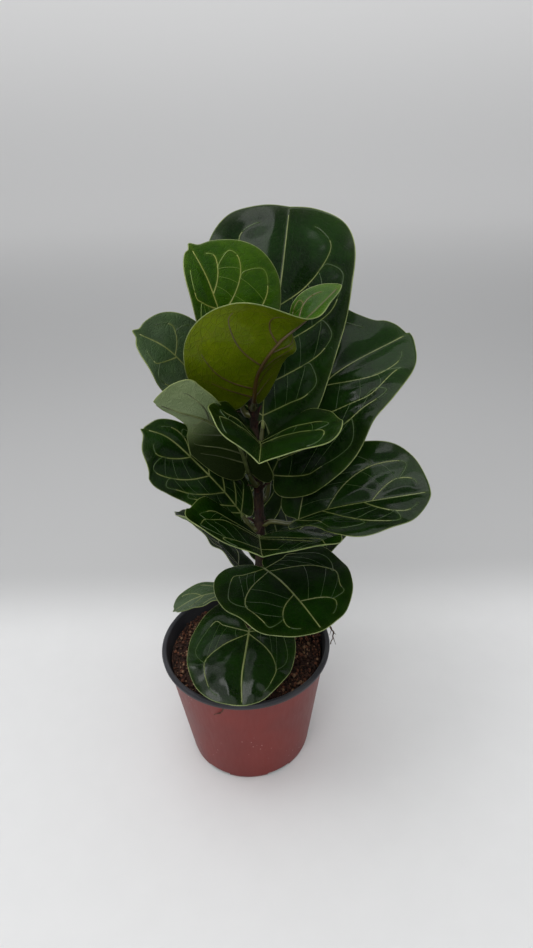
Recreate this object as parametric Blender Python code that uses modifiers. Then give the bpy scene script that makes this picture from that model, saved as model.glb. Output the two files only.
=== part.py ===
"""A young fiddle leaf fig growing in a round plastic nursery pot.

The stem stands in a ball of soil and carries broad leaves on short petioles. The pot, the soil,
the stem, every leaf, the end bud, the dry bud scales and two loose roots are separate solids.
Sizes are in millimetres up to the point where an object is made, and in metres from there on.
The plant faces -Y, +X is its right-hand side and the pot stands on the plane Z = 0.
"""

import math
from dataclasses import dataclass

import bmesh
import bpy
from mathutils import Vector

MM = 0.001
CLEARANCE = 0.3

POT_HEIGHT = 109.0
RIM_RADIUS = 70.0
RIM_WIDTH = 4.0
RIM_DEPTH = 4.5
WALL_TOP_RADIUS = 66.2
WALL_FOOT_RADIUS = 52.0
FOOT_RADIUS = 49.5
FOOT_ROUNDING = 5.0
WALL_THICKNESS = 1.6
FLOOR_THICKNESS = 2.0
FLOOR_CORNER = (2.0, 3.0)
LIP_ROUNDING = 0.8
RIM_ROUNDING = (1.2, 1.4)
RIM_UNDERCUT = (0.4, 0.6)
SHOULDER_DROP = 2.0
FOOT_BULGE = 0.7
POT_STEPS = 48

DRAIN_COUNT = 6
DRAIN_SIZE = (8.0, 21.0, 7.0)
DRAIN_START = -62.0

SOIL_TOP = 98.0
SOIL_CROWN = 1.5
SOIL_CROWN_SPREAD = 0.55
SOIL_CROWN_SHARE = 0.7
SOIL_EDGE_DROP = 1.0
SOIL_CORNER = (3.0, 4.0)
SOIL_SIDE_GAPS = (0.4, 0.6)
STEM_HOLE_RADIUS = 5.4
STEM_HOLE_FLOOR = 74.0
STEM_HOLE_SHIFT = 0.4
STEM_HOLE_SEGMENTS = 16
CUTTER_EXCESS = 10.0

STEM_PATH = (
    (3.2, 0, 75), (3.8, 0, 98), (8.5, 0, 132), (12.5, 0, 165),
    (15.2, 0, 205), (15.6, 0, 245), (15.0, 0, 285), (14.0, 1, 330),
)
STEM_FOOT_RADIUS = 4.2
STEM_TIP_RADIUS = 2.6
STEM_POINT_COUNT = 16

BLADE_THICKNESS = 1.0
BLADE_CELLS_LONG = 10
BLADE_CELLS_WIDE = 6
PETIOLE_RADIUS = 1.8
MIDRIB_END_RADIUS = 0.7
PETIOLE_POINTS = 6
PETIOLE_PULL = 0.35
MIDRIB_POINTS = 3
MIDRIB_REACH = 0.3
RIB_DROP = 0.8
MIDRIB_SAMPLES = 60
OUTLINE_STEPS = 10
TUBE_RESOLUTION = 2

BUD_LENGTH = 13.0
BUD_RADIUS = 2.4
BUD_DIRECTION = (-0.05, 0.05, 1)
SCALE_LENGTH = 9.0
SCALE_RADIUS = 1.7
SCALE_TIP_SHARE = 0.12
SCALE_FLATNESS = 0.45
SCALE_SPREAD = 0.3
SCALE_SIDES = 10

ROOT_RADIUS = 1.4
ROOT_END_RADIUS = 0.6
ROOT_POINTS = 13
FIBRE_RADIUS = 0.5
FIBRE_POINTS = 7


@dataclass(frozen=True)
class Leaf:
    """One leaf, given by its midrib and by how each half of the blade rises from it.

    node_height is the height on the stem where the petiole starts. midrib runs from the blade's
    base to its apex. faces is the direction of the upper side, from the base to the apex. A fold
    is the angle of that half above the midrib at the base, at the apex, and what the margin adds.
    Both halves have the same outline unless right_outline names another one.
    """

    name: str
    node_height: float
    midrib: tuple
    half_widths: tuple
    faces: tuple
    left_fold: tuple
    right_fold: tuple
    outline: str
    colour: str = "leaf_dark"
    right_outline: str = ""


# Half outlines from the notch at the base to the apex: share of the length, share of the width.
OUTLINES = {
    "fiddle": (
        (0.035, 0), (-0.03, 0.16), (-0.015, 0.36), (0.10, 0.58), (0.27, 0.70), (0.45, 0.78),
        (0.60, 0.92), (0.75, 1.0), (0.89, 0.84), (0.97, 0.48), (0.99, 0.14), (1.02, 0),
    ),
    "tall": (
        (0.04, 0), (-0.03, 0.16), (-0.01, 0.42), (0.09, 0.74), (0.26, 0.86), (0.46, 0.95),
        (0.66, 1.0), (0.82, 0.95), (0.935, 0.74), (0.99, 0.36), (1.0, 0),
    ),
    "oblong": (
        (0.04, 0), (-0.04, 0.16), (-0.04, 0.40), (0.08, 0.72), (0.26, 0.90), (0.46, 1.0),
        (0.66, 0.98), (0.82, 0.86), (0.93, 0.60), (0.985, 0.25), (1.0, 0),
    ),
    "round": (
        (0.05, 0), (-0.05, 0.18), (-0.06, 0.42), (0.05, 0.72), (0.25, 0.90), (0.45, 0.96),
        (0.62, 1.0), (0.78, 0.93), (0.90, 0.70), (0.97, 0.38), (0.985, 0.12), (1.02, 0),
    ),
    "young": (
        (0.02, 0), (0.0, 0.14), (0.04, 0.36), (0.16, 0.62), (0.32, 0.82), (0.50, 0.96),
        (0.64, 1.0), (0.78, 0.90), (0.89, 0.66), (0.965, 0.34), (0.985, 0.12), (1.02, 0),
    ),
    "waisted": (
        (0.05, 0), (-0.06, 0.20), (-0.05, 0.50), (0.08, 0.84), (0.25, 0.86), (0.42, 0.66),
        (0.58, 0.60), (0.72, 0.68), (0.85, 0.66), (0.94, 0.46), (0.985, 0.20), (1.0, 0),
    ),
    "heart": (
        (0.05, 0), (-0.06, 0.20), (-0.05, 0.50), (0.10, 0.86), (0.28, 1.04), (0.45, 0.97),
        (0.60, 0.68), (0.72, 0.34), (0.84, 0.15), (0.94, 0.09), (1.0, 0),
    ),
    "eared": (
        (0.0, 0), (-0.10, 0.20), (-0.14, 0.42), (-0.08, 0.58), (0.04, 0.58), (0.18, 0.49),
        (0.32, 0.40), (0.46, 0.38), (0.58, 0.44), (0.72, 0.68), (0.86, 0.84), (0.95, 0.62),
        (1.0, 0.30), (1.02, 0),
    ),
    "cornered": (
        (0.05, 0), (-0.06, 0.20), (-0.05, 0.44), (0.09, 0.70), (0.23, 0.96), (0.35, 1.07),
        (0.46, 0.95), (0.60, 0.62), (0.73, 0.32), (0.84, 0.15), (0.94, 0.09), (1.0, 0),
    ),
    "notched": (
        (0.04, 0), (-0.04, 0.16), (-0.02, 0.45), (0.10, 0.78), (0.28, 0.95), (0.46, 1.08),
        (0.62, 1.15), (0.74, 1.04), (0.82, 0.72), (0.88, 0.48), (0.94, 0.40), (0.98, 0.24),
        (1.02, 0),
    ),
    "hipped": (
        (0.03, 0), (-0.02, 0.12), (0.0, 0.30), (0.10, 0.46), (0.24, 0.64), (0.38, 0.98),
        (0.50, 1.10), (0.64, 1.00), (0.78, 0.80), (0.90, 0.55), (0.97, 0.28), (1.0, 0),
    ),
    "belly": (
        (0.04, 0), (-0.03, 0.16), (-0.02, 0.40), (0.09, 0.78), (0.26, 1.0), (0.46, 1.0),
        (0.64, 0.90), (0.80, 0.72), (0.92, 0.48), (0.98, 0.20), (1.0, 0),
    ),
    "cordate": (
        (0.0, 0), (-0.10, 0.09), (-0.17, 0.28), (-0.16, 0.54), (-0.02, 0.83), (0.25, 1.0),
        (0.50, 0.98), (0.75, 0.80), (0.92, 0.50), (0.985, 0.20), (1.0, 0),
    ),
    "lobed": (
        (0.0, 0), (-0.16, 0.16), (-0.36, 0.32), (-0.38, 0.56), (-0.16, 0.85), (0.15, 1.0),
        (0.45, 0.98), (0.72, 0.80), (0.91, 0.50), (0.985, 0.20), (1.0, 0),
    ),
}

LEAVES = (
    Leaf("leaf_front_lowest", 118, ((4, -12, 132), (1, -32, 128), (-2, -54, 123), (-2, -74, 115)),
         (38, 46), ((0, -0.2, 1), (0, -0.4, 1)), (2, 2, -12), (2, 2, -12), "lobed"),
    Leaf("leaf_left_lowest", 136, ((-8, 14, 146), (-24, 18, 146), (-42, 16, 142), (-58, 8, 137)),
         (15, 15), ((-0.1, 0, 1), (-0.4, 0, 1)), (8, 8, 0), (8, 8, 0), "young"),
    Leaf("leaf_left_under", 160, ((2, 10, 172), (-14, 28, 183), (-34, 42, 195), (-54, 50, 206)),
         (40, 34), ((0.5, 0.4, 0.8), (0.4, 0.4, 0.8)), (10, 10, 0), (10, 10, 0), "fiddle"),
    Leaf("leaf_rear_low", 172, ((20, 10, 182), (38, 26, 192), (56, 44, 196), (72, 62, 192)),
         (40, 40), ((0, -0.1, 1), (0.2, 0.2, 1)), (8, 8, 0), (8, 8, 0), "oblong"),
    Leaf("leaf_right_round", 184, ((17, -14, 196), (30, -36, 200), (43, -60, 200), (56, -84, 196)),
         (48, 49), ((0, -0.1, 1), (0, -0.2, 1)), (2, 2, 0), (6, 6, 0), "cordate"),
    Leaf("leaf_rear_middle", 200, ((8, 14, 214), (-2, 42, 230), (-14, 68, 240), (-22, 96, 242)),
         (50, 50), ((0, -0.3, 1), (0, 0.1, 1)), (10, 10, 0), (10, 10, 0), "fiddle"),
    Leaf("leaf_front_wide", 212, ((15, -25, 234), (16, -48, 243), (17, -72, 253), (18, -97, 269)),
         (53, 56), ((0, 0, 1), (0, 0, 1)), (0, 6, 5), (40, 24, 6), "round"),
    Leaf("leaf_left_middle", 224,
         ((4, -7, 239), (-9, -9, 262), (-27, -14, 290), (-43, -18, 311), (-60, -21, 321)),
         (33, 19), ((0.4, -0.9, 0.7), (0.3, -0.9, 0.6)), (10, 10, 0), (14, 14, 0), "fiddle",
         "leaf_dark", "belly"),
    Leaf("leaf_right_middle", 228, ((40, -8, 233), (63, -14, 246), (90, -19, 255), (136, -22, 264)),
         (43, 30), ((-0.1, -0.3, 1), (-0.1, -0.3, 1)), (36, 36, 0), (20, -4, 0), "oblong",
         "leaf_dark", "hipped"),
    Leaf("leaf_rear_upper", 240, ((20, 19, 258), (30, 42, 279), (38, 64, 296), (44, 92, 306)),
         (50, 50), ((0, -0.5, 1), (0, -0.1, 1)), (14, 14, 0), (14, 14, 0), "fiddle"),
    Leaf("leaf_right_upper", 248, ((24, 3, 264), (42, 10, 298), (70, 24, 333), (128, 48, 355)),
         (42, 52), ((-0.35, -0.7, 0.7), (-0.35, -0.7, 0.7)), (12, 12, 18), (8, 8, 6), "notched",
         "leaf_dark", "belly"),
    Leaf("leaf_left_pale", 264,
         ((10, -16, 281), (3, -27, 311), (-14, -38, 332), (-30, -45, 342), (-43, -49, 350)),
         (26, 33), ((0, 0.9, 0.4), (0, 0.95, 0.3)), (0, 24, 0), (4, 4, 0), "eared",
         "leaf_pale", "heart"),
    Leaf("leaf_front_folded", 294, ((18, -24, 309), (19, -44, 316), (18.5, -68, 323), (18, -92, 331)),
         (53, 42), ((0.05, 0, 1), (0.05, 0, 1)), (32, 18, 0), (50, 38, 0), "round"),
    Leaf("leaf_left_upper", 304, ((0, -5, 322), (-18, -12, 346), (-36, -20, 373), (-54, -28, 388)),
         (24, 25), ((0.3, -0.9, 0.7), (0.3, -0.9, 0.7)), (10, 10, 0), (20, 20, 0), "young"),
    Leaf("leaf_top_back", 288, ((20, 9, 302), (24, 22, 336), (35, 46, 386), (44, 68, 440)),
         (54, 56), ((-0.15, -1, 0.3), (-0.15, -1, 0.4)), (14, 12, 4), (22, 20, 10), "tall"),
    Leaf("leaf_top_left", 318, ((9, -1, 342), (0, -3, 374), (-10, -2, 410), (-20, 4, 430)),
         (23, 44), ((0.5, -0.85, 0.3), (0.5, -0.85, 0.5)), (25, 25, 0), (8, 8, 12), "young",
         "leaf_young"),
    Leaf("leaf_top_front", 324,
         ((15, -13, 333), (19, -25, 358), (32, -33, 380), (49, -29, 393), (71, -13, 408)),
         (27, 47), ((-0.1, 1, 0.5), (0, 1, 0.45), (0.15, 1, 0.4), (0.1, 0.4, 0.9), (0, 0.1, 1)),
         (42, 16, 0), (-3, 4, 0), "waisted", "leaf_young", "cornered"),
)

# Dry scales left on the stem: height on the stem, compass angle in degrees from +X.
BUD_SCALES = ((236, 150), (256, 215), (274, 330), (309, 255))

ROOT_PATH = ((57, 15.5, 103), (62, 14, 110), (67, 12, 113), (71.8, 9, 112), (74, 7.7, 107),
             (73.6, 7.5, 102), (71.8, 5, 97))
# The fibre's compass angle in degrees and its height, down the outside of the wall.
FIBRE_TRACK = ((-105, 101), (-106, 97), (-109, 93.5), (-113, 89.5))

# sRGB colours, roughness.
FINISHES = {
    "pot_plastic": ((138, 76, 68), 0.42),
    "soil": ((62, 40, 30), 0.95),
    "bark": ((104, 72, 48), 0.75),
    "leaf_dark": ((40, 70, 28), 0.35),
    "leaf_young": ((98, 116, 26), 0.38),
    "leaf_pale": ((108, 126, 82), 0.55),
    "dry_scale": ((58, 34, 26), 0.8),
    "root": ((92, 78, 62), 0.85),
}


def clear_scene():
    """Remove every object of the opened scene."""
    for item in list(bpy.data.objects):
        bpy.data.objects.remove(item, do_unlink=True)


def make_collection(name):
    """Add a collection to the scene."""
    collection = bpy.data.collections.new(name)
    bpy.context.scene.collection.children.link(collection)
    return collection


def linear_channel(value):
    """Turn one sRGB channel from 0..255 into a linear value from 0..1."""
    share = value / 255
    if share <= 0.04045:
        return share / 12.92
    return ((share + 0.055) / 1.055) ** 2.4


def make_material(name, finish):
    """Make a material of its own for one sub-part from a named finish."""
    colour, roughness = FINISHES[finish]
    material = bpy.data.materials.new(name)
    material.use_nodes = True
    shader = material.node_tree.nodes["Principled BSDF"]
    shader.inputs["Base Color"].default_value = (*(linear_channel(c) for c in colour), 1)
    shader.inputs["Roughness"].default_value = roughness
    shader.inputs["Metallic"].default_value = 0
    return material


def place(name, data, collection, finish):
    """Make the named object of one sub-part and give it its material."""
    item = bpy.data.objects.new(name, data)
    data.materials.append(make_material(name + "_finish", finish))
    collection.objects.link(item)
    return item


def place_helper(name, data, collection):
    """Make an object that only shapes another one."""
    item = bpy.data.objects.new(name, data)
    item.hide_render = True
    item.display_type = "WIRE"
    collection.objects.link(item)
    return item


def add_boolean(item, helper, operation):
    """Join the helper to the object or cut it away from it."""
    modifier = item.modifiers.new(operation.lower(), "BOOLEAN")
    modifier.object = helper
    modifier.operation = operation
    modifier.solver = "EXACT"


def smooth_point(points, share):
    """Return the point at a share of a smooth curve through the points."""
    place_on = min(max(share, 0), 1) * (len(points) - 1)
    index = min(int(place_on), len(points) - 2)
    t = place_on - index
    b, c = Vector(points[index]), Vector(points[index + 1])
    a = Vector(points[index - 1]) if index > 0 else 2 * b - c
    d = Vector(points[index + 2]) if index + 2 < len(points) else 2 * c - b
    return 0.5 * (2 * b + (c - a) * t + (2 * a - 5 * b + 4 * c - d) * t ** 2
                  + (3 * b - a - 3 * c + d) * t ** 3)


def stem_centre(height):
    """Return the point of the stem's centre line at a height."""
    for low, high in zip(STEM_PATH, STEM_PATH[1:]):
        if height <= high[2]:
            share = (height - low[2]) / (high[2] - low[2])
            return Vector(low).lerp(Vector(high), share)
    return Vector(STEM_PATH[-1])


def stem_radius(height):
    """Return the stem's radius at a height."""
    share = (height - SOIL_TOP) / (STEM_PATH[-1][2] - SOIL_TOP)
    return STEM_FOOT_RADIUS + (STEM_TIP_RADIUS - STEM_FOOT_RADIUS) * min(max(share, 0), 1)


def wall_radius(height):
    """Return the radius of the pot's outer wall at a height."""
    share = (height - FOOT_ROUNDING) / (POT_HEIGHT - RIM_DEPTH - FOOT_ROUNDING)
    return WALL_FOOT_RADIUS + (WALL_TOP_RADIUS - WALL_FOOT_RADIUS) * share


def turned_mesh(name, profile):
    """Make a mesh that holds a profile in the XZ plane, ready for a Screw modifier."""
    mesh = bpy.data.meshes.new(name)
    vertices = [(radius * MM, 0, height * MM) for radius, height in profile]
    edges = [(i, i + 1) for i in range(len(profile) - 1)]
    mesh.from_pydata(vertices, edges, [])
    return mesh


def add_turn(item):
    """Turn the object's profile once around the Z axis."""
    modifier = item.modifiers.new("turn", "SCREW")
    modifier.angle = math.tau
    modifier.steps = POT_STEPS
    modifier.render_steps = POT_STEPS
    modifier.use_merge_vertices = True
    modifier.merge_threshold = 0.00001


def tube_curve(name, points, radii):
    """Make a closed tube along the points, with a radius at each point."""
    curve = bpy.data.curves.new(name, "CURVE")
    curve.dimensions = "3D"
    curve.bevel_depth = MM
    curve.bevel_resolution = TUBE_RESOLUTION
    curve.use_fill_caps = True
    spline = curve.splines.new("POLY")
    spline.points.add(len(points) - 1)
    for control, point, radius in zip(spline.points, points, radii):
        control.co = (*(Vector(point) * MM), 1)
        control.radius = radius
    return curve


def tube_mesh(name, points, radii):
    """Make a tube as a mesh, so that a Boolean can use it."""
    curve = tube_curve(name + "_route", points, radii)
    carrier = bpy.data.objects.new(name + "_carrier", curve)
    bpy.context.scene.collection.objects.link(carrier)
    mesh = bpy.data.meshes.new_from_object(carrier)
    mesh.transform(carrier.matrix_world)
    bpy.data.objects.remove(carrier)
    solid = bmesh.new()
    solid.from_mesh(mesh)
    bmesh.ops.remove_doubles(solid, verts=solid.verts, dist=0.00001)
    solid.to_mesh(mesh)
    solid.free()
    mesh.materials.clear()
    return mesh


def build_pot(parts, helpers):
    """Turn the pot, rim, wall and floor in one piece, and cut the drain notches in its foot."""
    inner_top = RIM_RADIUS - RIM_WIDTH
    rim_foot = POT_HEIGHT - RIM_DEPTH
    wall_inner_top = WALL_TOP_RADIUS - WALL_THICKNESS
    wall_inner_foot = WALL_FOOT_RADIUS - WALL_THICKNESS
    profile = (
        (0, FLOOR_THICKNESS),
        (wall_inner_foot - FLOOR_CORNER[0], FLOOR_THICKNESS),
        (wall_inner_foot, FLOOR_THICKNESS + FLOOR_CORNER[1]),
        (wall_inner_top, rim_foot - SHOULDER_DROP),
        (inner_top, POT_HEIGHT - LIP_ROUNDING),
        (inner_top + LIP_ROUNDING, POT_HEIGHT),
        (RIM_RADIUS - RIM_ROUNDING[0], POT_HEIGHT),
        (RIM_RADIUS, POT_HEIGHT - RIM_ROUNDING[1]),
        (RIM_RADIUS - RIM_UNDERCUT[0], rim_foot),
        (WALL_TOP_RADIUS, rim_foot - RIM_UNDERCUT[1]),
        (WALL_FOOT_RADIUS, FOOT_ROUNDING),
        (WALL_FOOT_RADIUS - FOOT_BULGE, FOOT_ROUNDING / 3),
        (FOOT_RADIUS, 0),
        (0, 0),
    )
    pot = place("pot", turned_mesh("pot", profile), parts, "pot_plastic")
    add_turn(pot)
    add_boolean(pot, build_drain_cutter(helpers), "DIFFERENCE")


def build_drain_cutter(helpers):
    """Make the blocks that cut the drain notches through the foot."""
    mesh = bpy.data.meshes.new("drain_cutter")
    blocks = bmesh.new()
    for number in range(DRAIN_COUNT):
        made = bmesh.ops.create_cube(blocks, size=1)["verts"]
        bmesh.ops.scale(blocks, vec=Vector(DRAIN_SIZE) * MM, verts=made)
        bmesh.ops.translate(blocks, vec=(FOOT_RADIUS * MM, 0, 0), verts=made)
        turn = math.radians(DRAIN_START) + math.tau * number / DRAIN_COUNT
        around = Vector((math.cos(turn), math.sin(turn), 0))
        for vertex in made:
            radial, sideways, height = vertex.co
            vertex.co = radial * around + sideways * Vector((-around.y, around.x, 0))
            vertex.co.z = height
    blocks.to_mesh(mesh)
    blocks.free()
    return place_helper("drain_cutter", mesh, helpers)


def build_soil(parts, helpers):
    """Turn the ball of soil that fills the pot and bore the hole that the stem stands in."""
    side_gap = WALL_THICKNESS + CLEARANCE
    soil_foot = FLOOR_THICKNESS + CLEARANCE
    top_radius = wall_radius(SOIL_TOP) - side_gap - SOIL_SIDE_GAPS[0]
    foot_radius = WALL_FOOT_RADIUS - side_gap - SOIL_SIDE_GAPS[1]
    profile = (
        (0, SOIL_TOP + SOIL_CROWN),
        (top_radius * SOIL_CROWN_SPREAD, SOIL_TOP + SOIL_CROWN * SOIL_CROWN_SHARE),
        (top_radius, SOIL_TOP - SOIL_EDGE_DROP),
        (foot_radius, soil_foot + SOIL_CORNER[1]),
        (foot_radius - SOIL_CORNER[0], soil_foot),
        (0, soil_foot),
    )
    soil = place("soil", turned_mesh("soil", profile), parts, "soil")
    add_turn(soil)
    mesh = bpy.data.meshes.new("stem_hole_cutter")
    bore = bmesh.new()
    height = SOIL_TOP + CUTTER_EXCESS - STEM_HOLE_FLOOR
    bmesh.ops.create_cone(bore, cap_ends=True, segments=STEM_HOLE_SEGMENTS,
                          radius1=STEM_HOLE_RADIUS * MM, radius2=STEM_HOLE_RADIUS * MM,
                          depth=height * MM)
    middle = Vector((STEM_PATH[0][0] + STEM_HOLE_SHIFT, 0, STEM_HOLE_FLOOR + height / 2))
    bmesh.ops.translate(bore, vec=middle * MM, verts=bore.verts)
    bore.to_mesh(mesh)
    bore.free()
    add_boolean(soil, place_helper("stem_hole_cutter", mesh, helpers), "DIFFERENCE")


def build_stem(parts):
    """Make the tapering stem that stands in the soil."""
    shares = [i / (STEM_POINT_COUNT - 1) for i in range(STEM_POINT_COUNT)]
    points = [smooth_point(STEM_PATH, share) for share in shares]
    radii = [stem_radius(point.z) for point in points]
    place("stem", tube_curve("stem", points, radii), parts, "bark")


class Midrib:
    """The smooth line of a leaf's midrib, measured along its length."""

    def __init__(self, points):
        shares = [i / MIDRIB_SAMPLES for i in range(MIDRIB_SAMPLES + 1)]
        self.points = [smooth_point(points, share) for share in shares]
        self.distances = [0.0]
        for before, after in zip(self.points, self.points[1:]):
            self.distances.append(self.distances[-1] + (after - before).length)
        self.length = self.distances[-1]

    def at(self, distance):
        """Return the point and the direction at a distance from the blade's base."""
        inside = min(max(distance, 0), self.length)
        index = 0
        while index < MIDRIB_SAMPLES - 1 and self.distances[index + 1] < inside:
            index += 1
        before, after = self.points[index], self.points[index + 1]
        direction = (after - before).normalized()
        share = (inside - self.distances[index]) / (self.distances[index + 1] - self.distances[index])
        return before.lerp(after, share) + direction * (distance - inside), direction


def outline_reach(outline):
    """Return the outline as angle and distance from the blade's middle, in half lengths."""
    half = [Vector((2 * along - 1, across)) for along, across in OUTLINES[outline]]
    before = Vector((half[1].x, -half[1].y))
    after = Vector((half[-2].x, -half[-2].y))
    knots = [before, *half, after]
    reach = []
    for a, b, c, d in zip(knots, knots[1:], knots[2:], knots[3:]):
        for step in range(OUTLINE_STEPS):
            t = step / OUTLINE_STEPS
            point = 0.5 * (2 * b + (c - a) * t + (2 * a - 5 * b + 4 * c - d) * t ** 2
                           + (3 * b - a - 3 * c + d) * t ** 3)
            reach.append((math.atan2(point.y, point.x), point.length))
    reach.append((0.0, half[-1].length))
    return sorted(reach)


def reach_at(reach, angle):
    """Return the outline's distance from the blade's middle at an angle."""
    for (low, near), (high, far) in zip(reach, reach[1:]):
        if angle <= high:
            share = (angle - low) / max(high - low, 1e-9)
            return near + (far - near) * min(max(share, 0), 1)
    return reach[-1][1]


def blade_axes(leaf, midrib, along):
    """Return the midrib's point, its direction, the upper side and the right side of the blade."""
    point, forward = midrib.at(along)
    share = min(max(along / midrib.length, 0), 1)
    share = share * share * (3 - 2 * share)
    upward = smooth_point(leaf.faces, share)
    upward = (upward - forward * upward.dot(forward)).normalized()
    return point, forward, upward, forward.cross(upward), share


def bend_blade(leaf, midrib, along, across):
    """Return where a point of the flat blade lies once the leaf is bent and folded."""
    point, _, upward, right, share = blade_axes(leaf, midrib, along)
    fold = leaf.right_fold if across >= 0 else leaf.left_fold
    half_width = leaf.half_widths[1 if across >= 0 else 0]
    start = math.radians(fold[0] + (fold[1] - fold[0]) * share)
    curl = math.radians(fold[2]) / half_width
    width = abs(across)
    if abs(curl) < 1e-6:
        sideways, rise = width * math.cos(start), width * math.sin(start)
    else:
        sideways = (math.sin(start + curl * width) - math.sin(start)) / curl
        rise = (math.cos(start) - math.cos(start + curl * width)) / curl
    return point + right * math.copysign(sideways, across) + upward * rise


def blade_mesh(leaf, midrib):
    """Bend a grid into the blade: a square becomes a disc, the outline, then the folded leaf."""
    left_reach = outline_reach(leaf.outline)
    right_reach = outline_reach(leaf.right_outline or leaf.outline)
    grid = bmesh.new()
    bmesh.ops.create_grid(grid, x_segments=BLADE_CELLS_LONG, y_segments=BLADE_CELLS_WIDE, size=1)
    for vertex in grid.verts:
        x, y, _ = vertex.co
        disc = Vector((x * math.sqrt(1 - y * y / 2), y * math.sqrt(1 - x * x / 2)))
        reach = right_reach if disc.y >= 0 else left_reach
        disc *= reach_at(reach, math.atan2(abs(disc.y), disc.x))
        along = (0.5 + 0.5 * disc.x) * midrib.length
        across = disc.y * leaf.half_widths[1 if disc.y >= 0 else 0]
        vertex.co = bend_blade(leaf, midrib, along, across) * MM
    mesh = bpy.data.meshes.new(leaf.name)
    grid.to_mesh(mesh)
    grid.free()
    return mesh


def petiole_route(leaf, midrib):
    """Return the points and radii of the petiole and of the rib that it turns into."""
    base, forward, upward, _, _ = blade_axes(leaf, midrib, 0)
    base = base - upward * PETIOLE_RADIUS * RIB_DROP
    centre = stem_centre(leaf.node_height)
    outward = base - centre
    outward.z = 0
    outward.normalize()
    start = centre + outward * (stem_radius(leaf.node_height) + PETIOLE_RADIUS + CLEARANCE)
    pull = (base - start).length * PETIOLE_PULL
    handles = (start, start + (outward + Vector((0, 0, 1))).normalized() * pull,
               base - forward * pull, base)
    points = []
    radii = [PETIOLE_RADIUS] * PETIOLE_POINTS
    for step in range(PETIOLE_POINTS):
        t = step / (PETIOLE_POINTS - 1)
        weights = ((1 - t) ** 3, 3 * t * (1 - t) ** 2, 3 * t * t * (1 - t), t ** 3)
        points.append(sum((weight * handle for weight, handle in zip(weights, handles)), Vector()))
    for step in range(1, MIDRIB_POINTS + 1):
        share = step / MIDRIB_POINTS
        radius = PETIOLE_RADIUS + (MIDRIB_END_RADIUS - PETIOLE_RADIUS) * share
        point, _, upward, _, _ = blade_axes(leaf, midrib, midrib.length * MIDRIB_REACH * share)
        points.append(point - upward * radius * RIB_DROP)
        radii.append(radius)
    return points, radii


def build_leaf(leaf, parts, helpers):
    """Make one leaf: the blade as a thin shell, joined to its petiole."""
    midrib = Midrib(leaf.midrib)
    blade = place(leaf.name, blade_mesh(leaf, midrib), parts, leaf.colour)
    shell = blade.modifiers.new("thickness", "SOLIDIFY")
    shell.thickness = BLADE_THICKNESS * MM
    shell.offset = 0
    petiole_name = leaf.name + "_petiole"
    petiole = tube_mesh(petiole_name, *petiole_route(leaf, midrib))
    add_boolean(blade, place_helper(petiole_name, petiole, helpers), "UNION")


def scale_mesh(name, length, radius, flatness, base, direction):
    """Make a pointed bud or bud scale that stands on its base along a direction."""
    mesh = bpy.data.meshes.new(name)
    shape = bmesh.new()
    bmesh.ops.create_cone(shape, cap_ends=True, segments=SCALE_SIDES, radius1=radius * MM,
                          radius2=radius * SCALE_TIP_SHARE * MM, depth=length * MM)
    bmesh.ops.translate(shape, vec=(0, 0, length / 2 * MM), verts=shape.verts)
    bmesh.ops.scale(shape, vec=(1, flatness, 1), verts=shape.verts)
    turn = Vector((0, 0, 1)).rotation_difference(direction).to_matrix()
    bmesh.ops.rotate(shape, matrix=turn, verts=shape.verts)
    bmesh.ops.translate(shape, vec=base * MM, verts=shape.verts)
    shape.to_mesh(mesh)
    shape.free()
    return mesh


def build_bud(parts):
    """Make the pointed end bud that closes the top of the stem."""
    top = Vector(STEM_PATH[-1])
    base = top + Vector((0, 0, CLEARANCE))
    mesh = scale_mesh("end_bud", BUD_LENGTH, BUD_RADIUS, 1.0, base, Vector(BUD_DIRECTION))
    place("end_bud", mesh, parts, "dry_scale")


def build_bud_scales(parts):
    """Make the dry brown scales that stay on the stem above old leaf joints."""
    for number, (height, compass) in enumerate(BUD_SCALES, start=1):
        angle = math.radians(compass)
        outward = Vector((math.cos(angle), math.sin(angle), 0))
        distance = stem_radius(height) + SCALE_RADIUS + CLEARANCE
        base = stem_centre(height) + outward * distance
        direction = (outward * SCALE_SPREAD + Vector((0, 0, 1))).normalized()
        name = f"bud_scale_{number}"
        mesh = scale_mesh(name, SCALE_LENGTH, SCALE_RADIUS, SCALE_FLATNESS, base, direction)
        place(name, mesh, parts, "dry_scale")


def build_loose_roots(parts):
    """Make the root that hangs over the rim and the dry fibre on the pot's wall."""
    shares = [i / (ROOT_POINTS - 1) for i in range(ROOT_POINTS)]
    points = [smooth_point(ROOT_PATH, share) for share in shares]
    radii = [ROOT_RADIUS + (ROOT_END_RADIUS - ROOT_RADIUS) * share for share in shares]
    place("rim_root", tube_curve("rim_root", points, radii), parts, "root")
    track = []
    for compass, height in FIBRE_TRACK:
        angle = math.radians(compass)
        distance = wall_radius(height) + FIBRE_RADIUS + CLEARANCE
        track.append((distance * math.cos(angle), distance * math.sin(angle), height))
    points = [smooth_point(track, i / (FIBRE_POINTS - 1)) for i in range(FIBRE_POINTS)]
    fibre = tube_curve("wall_fibre", points, [FIBRE_RADIUS] * FIBRE_POINTS)
    place("wall_fibre", fibre, parts, "root")


def main():
    """Build the potted plant."""
    clear_scene()
    parts = make_collection("potted_fiddle_leaf_fig")
    helpers = make_collection("shaping_helpers")
    build_pot(parts, helpers)
    build_soil(parts, helpers)
    build_stem(parts)
    for leaf in LEAVES:
        build_leaf(leaf, parts, helpers)
    build_bud(parts)
    build_bud_scales(parts)
    build_loose_roots(parts)


main()
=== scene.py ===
"""Looks of a young fiddle leaf fig in a round plastic nursery pot.

Every leaf is a bent and folded blade with its own veins, margin and petiole. The stem, the dry
bud scales, the soil with its granules, the roots and the pot are dressed after them, and a plain
studio with soft lights stands around the plant. Shapes are worked out in millimetres and stored
in metres.
"""

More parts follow.
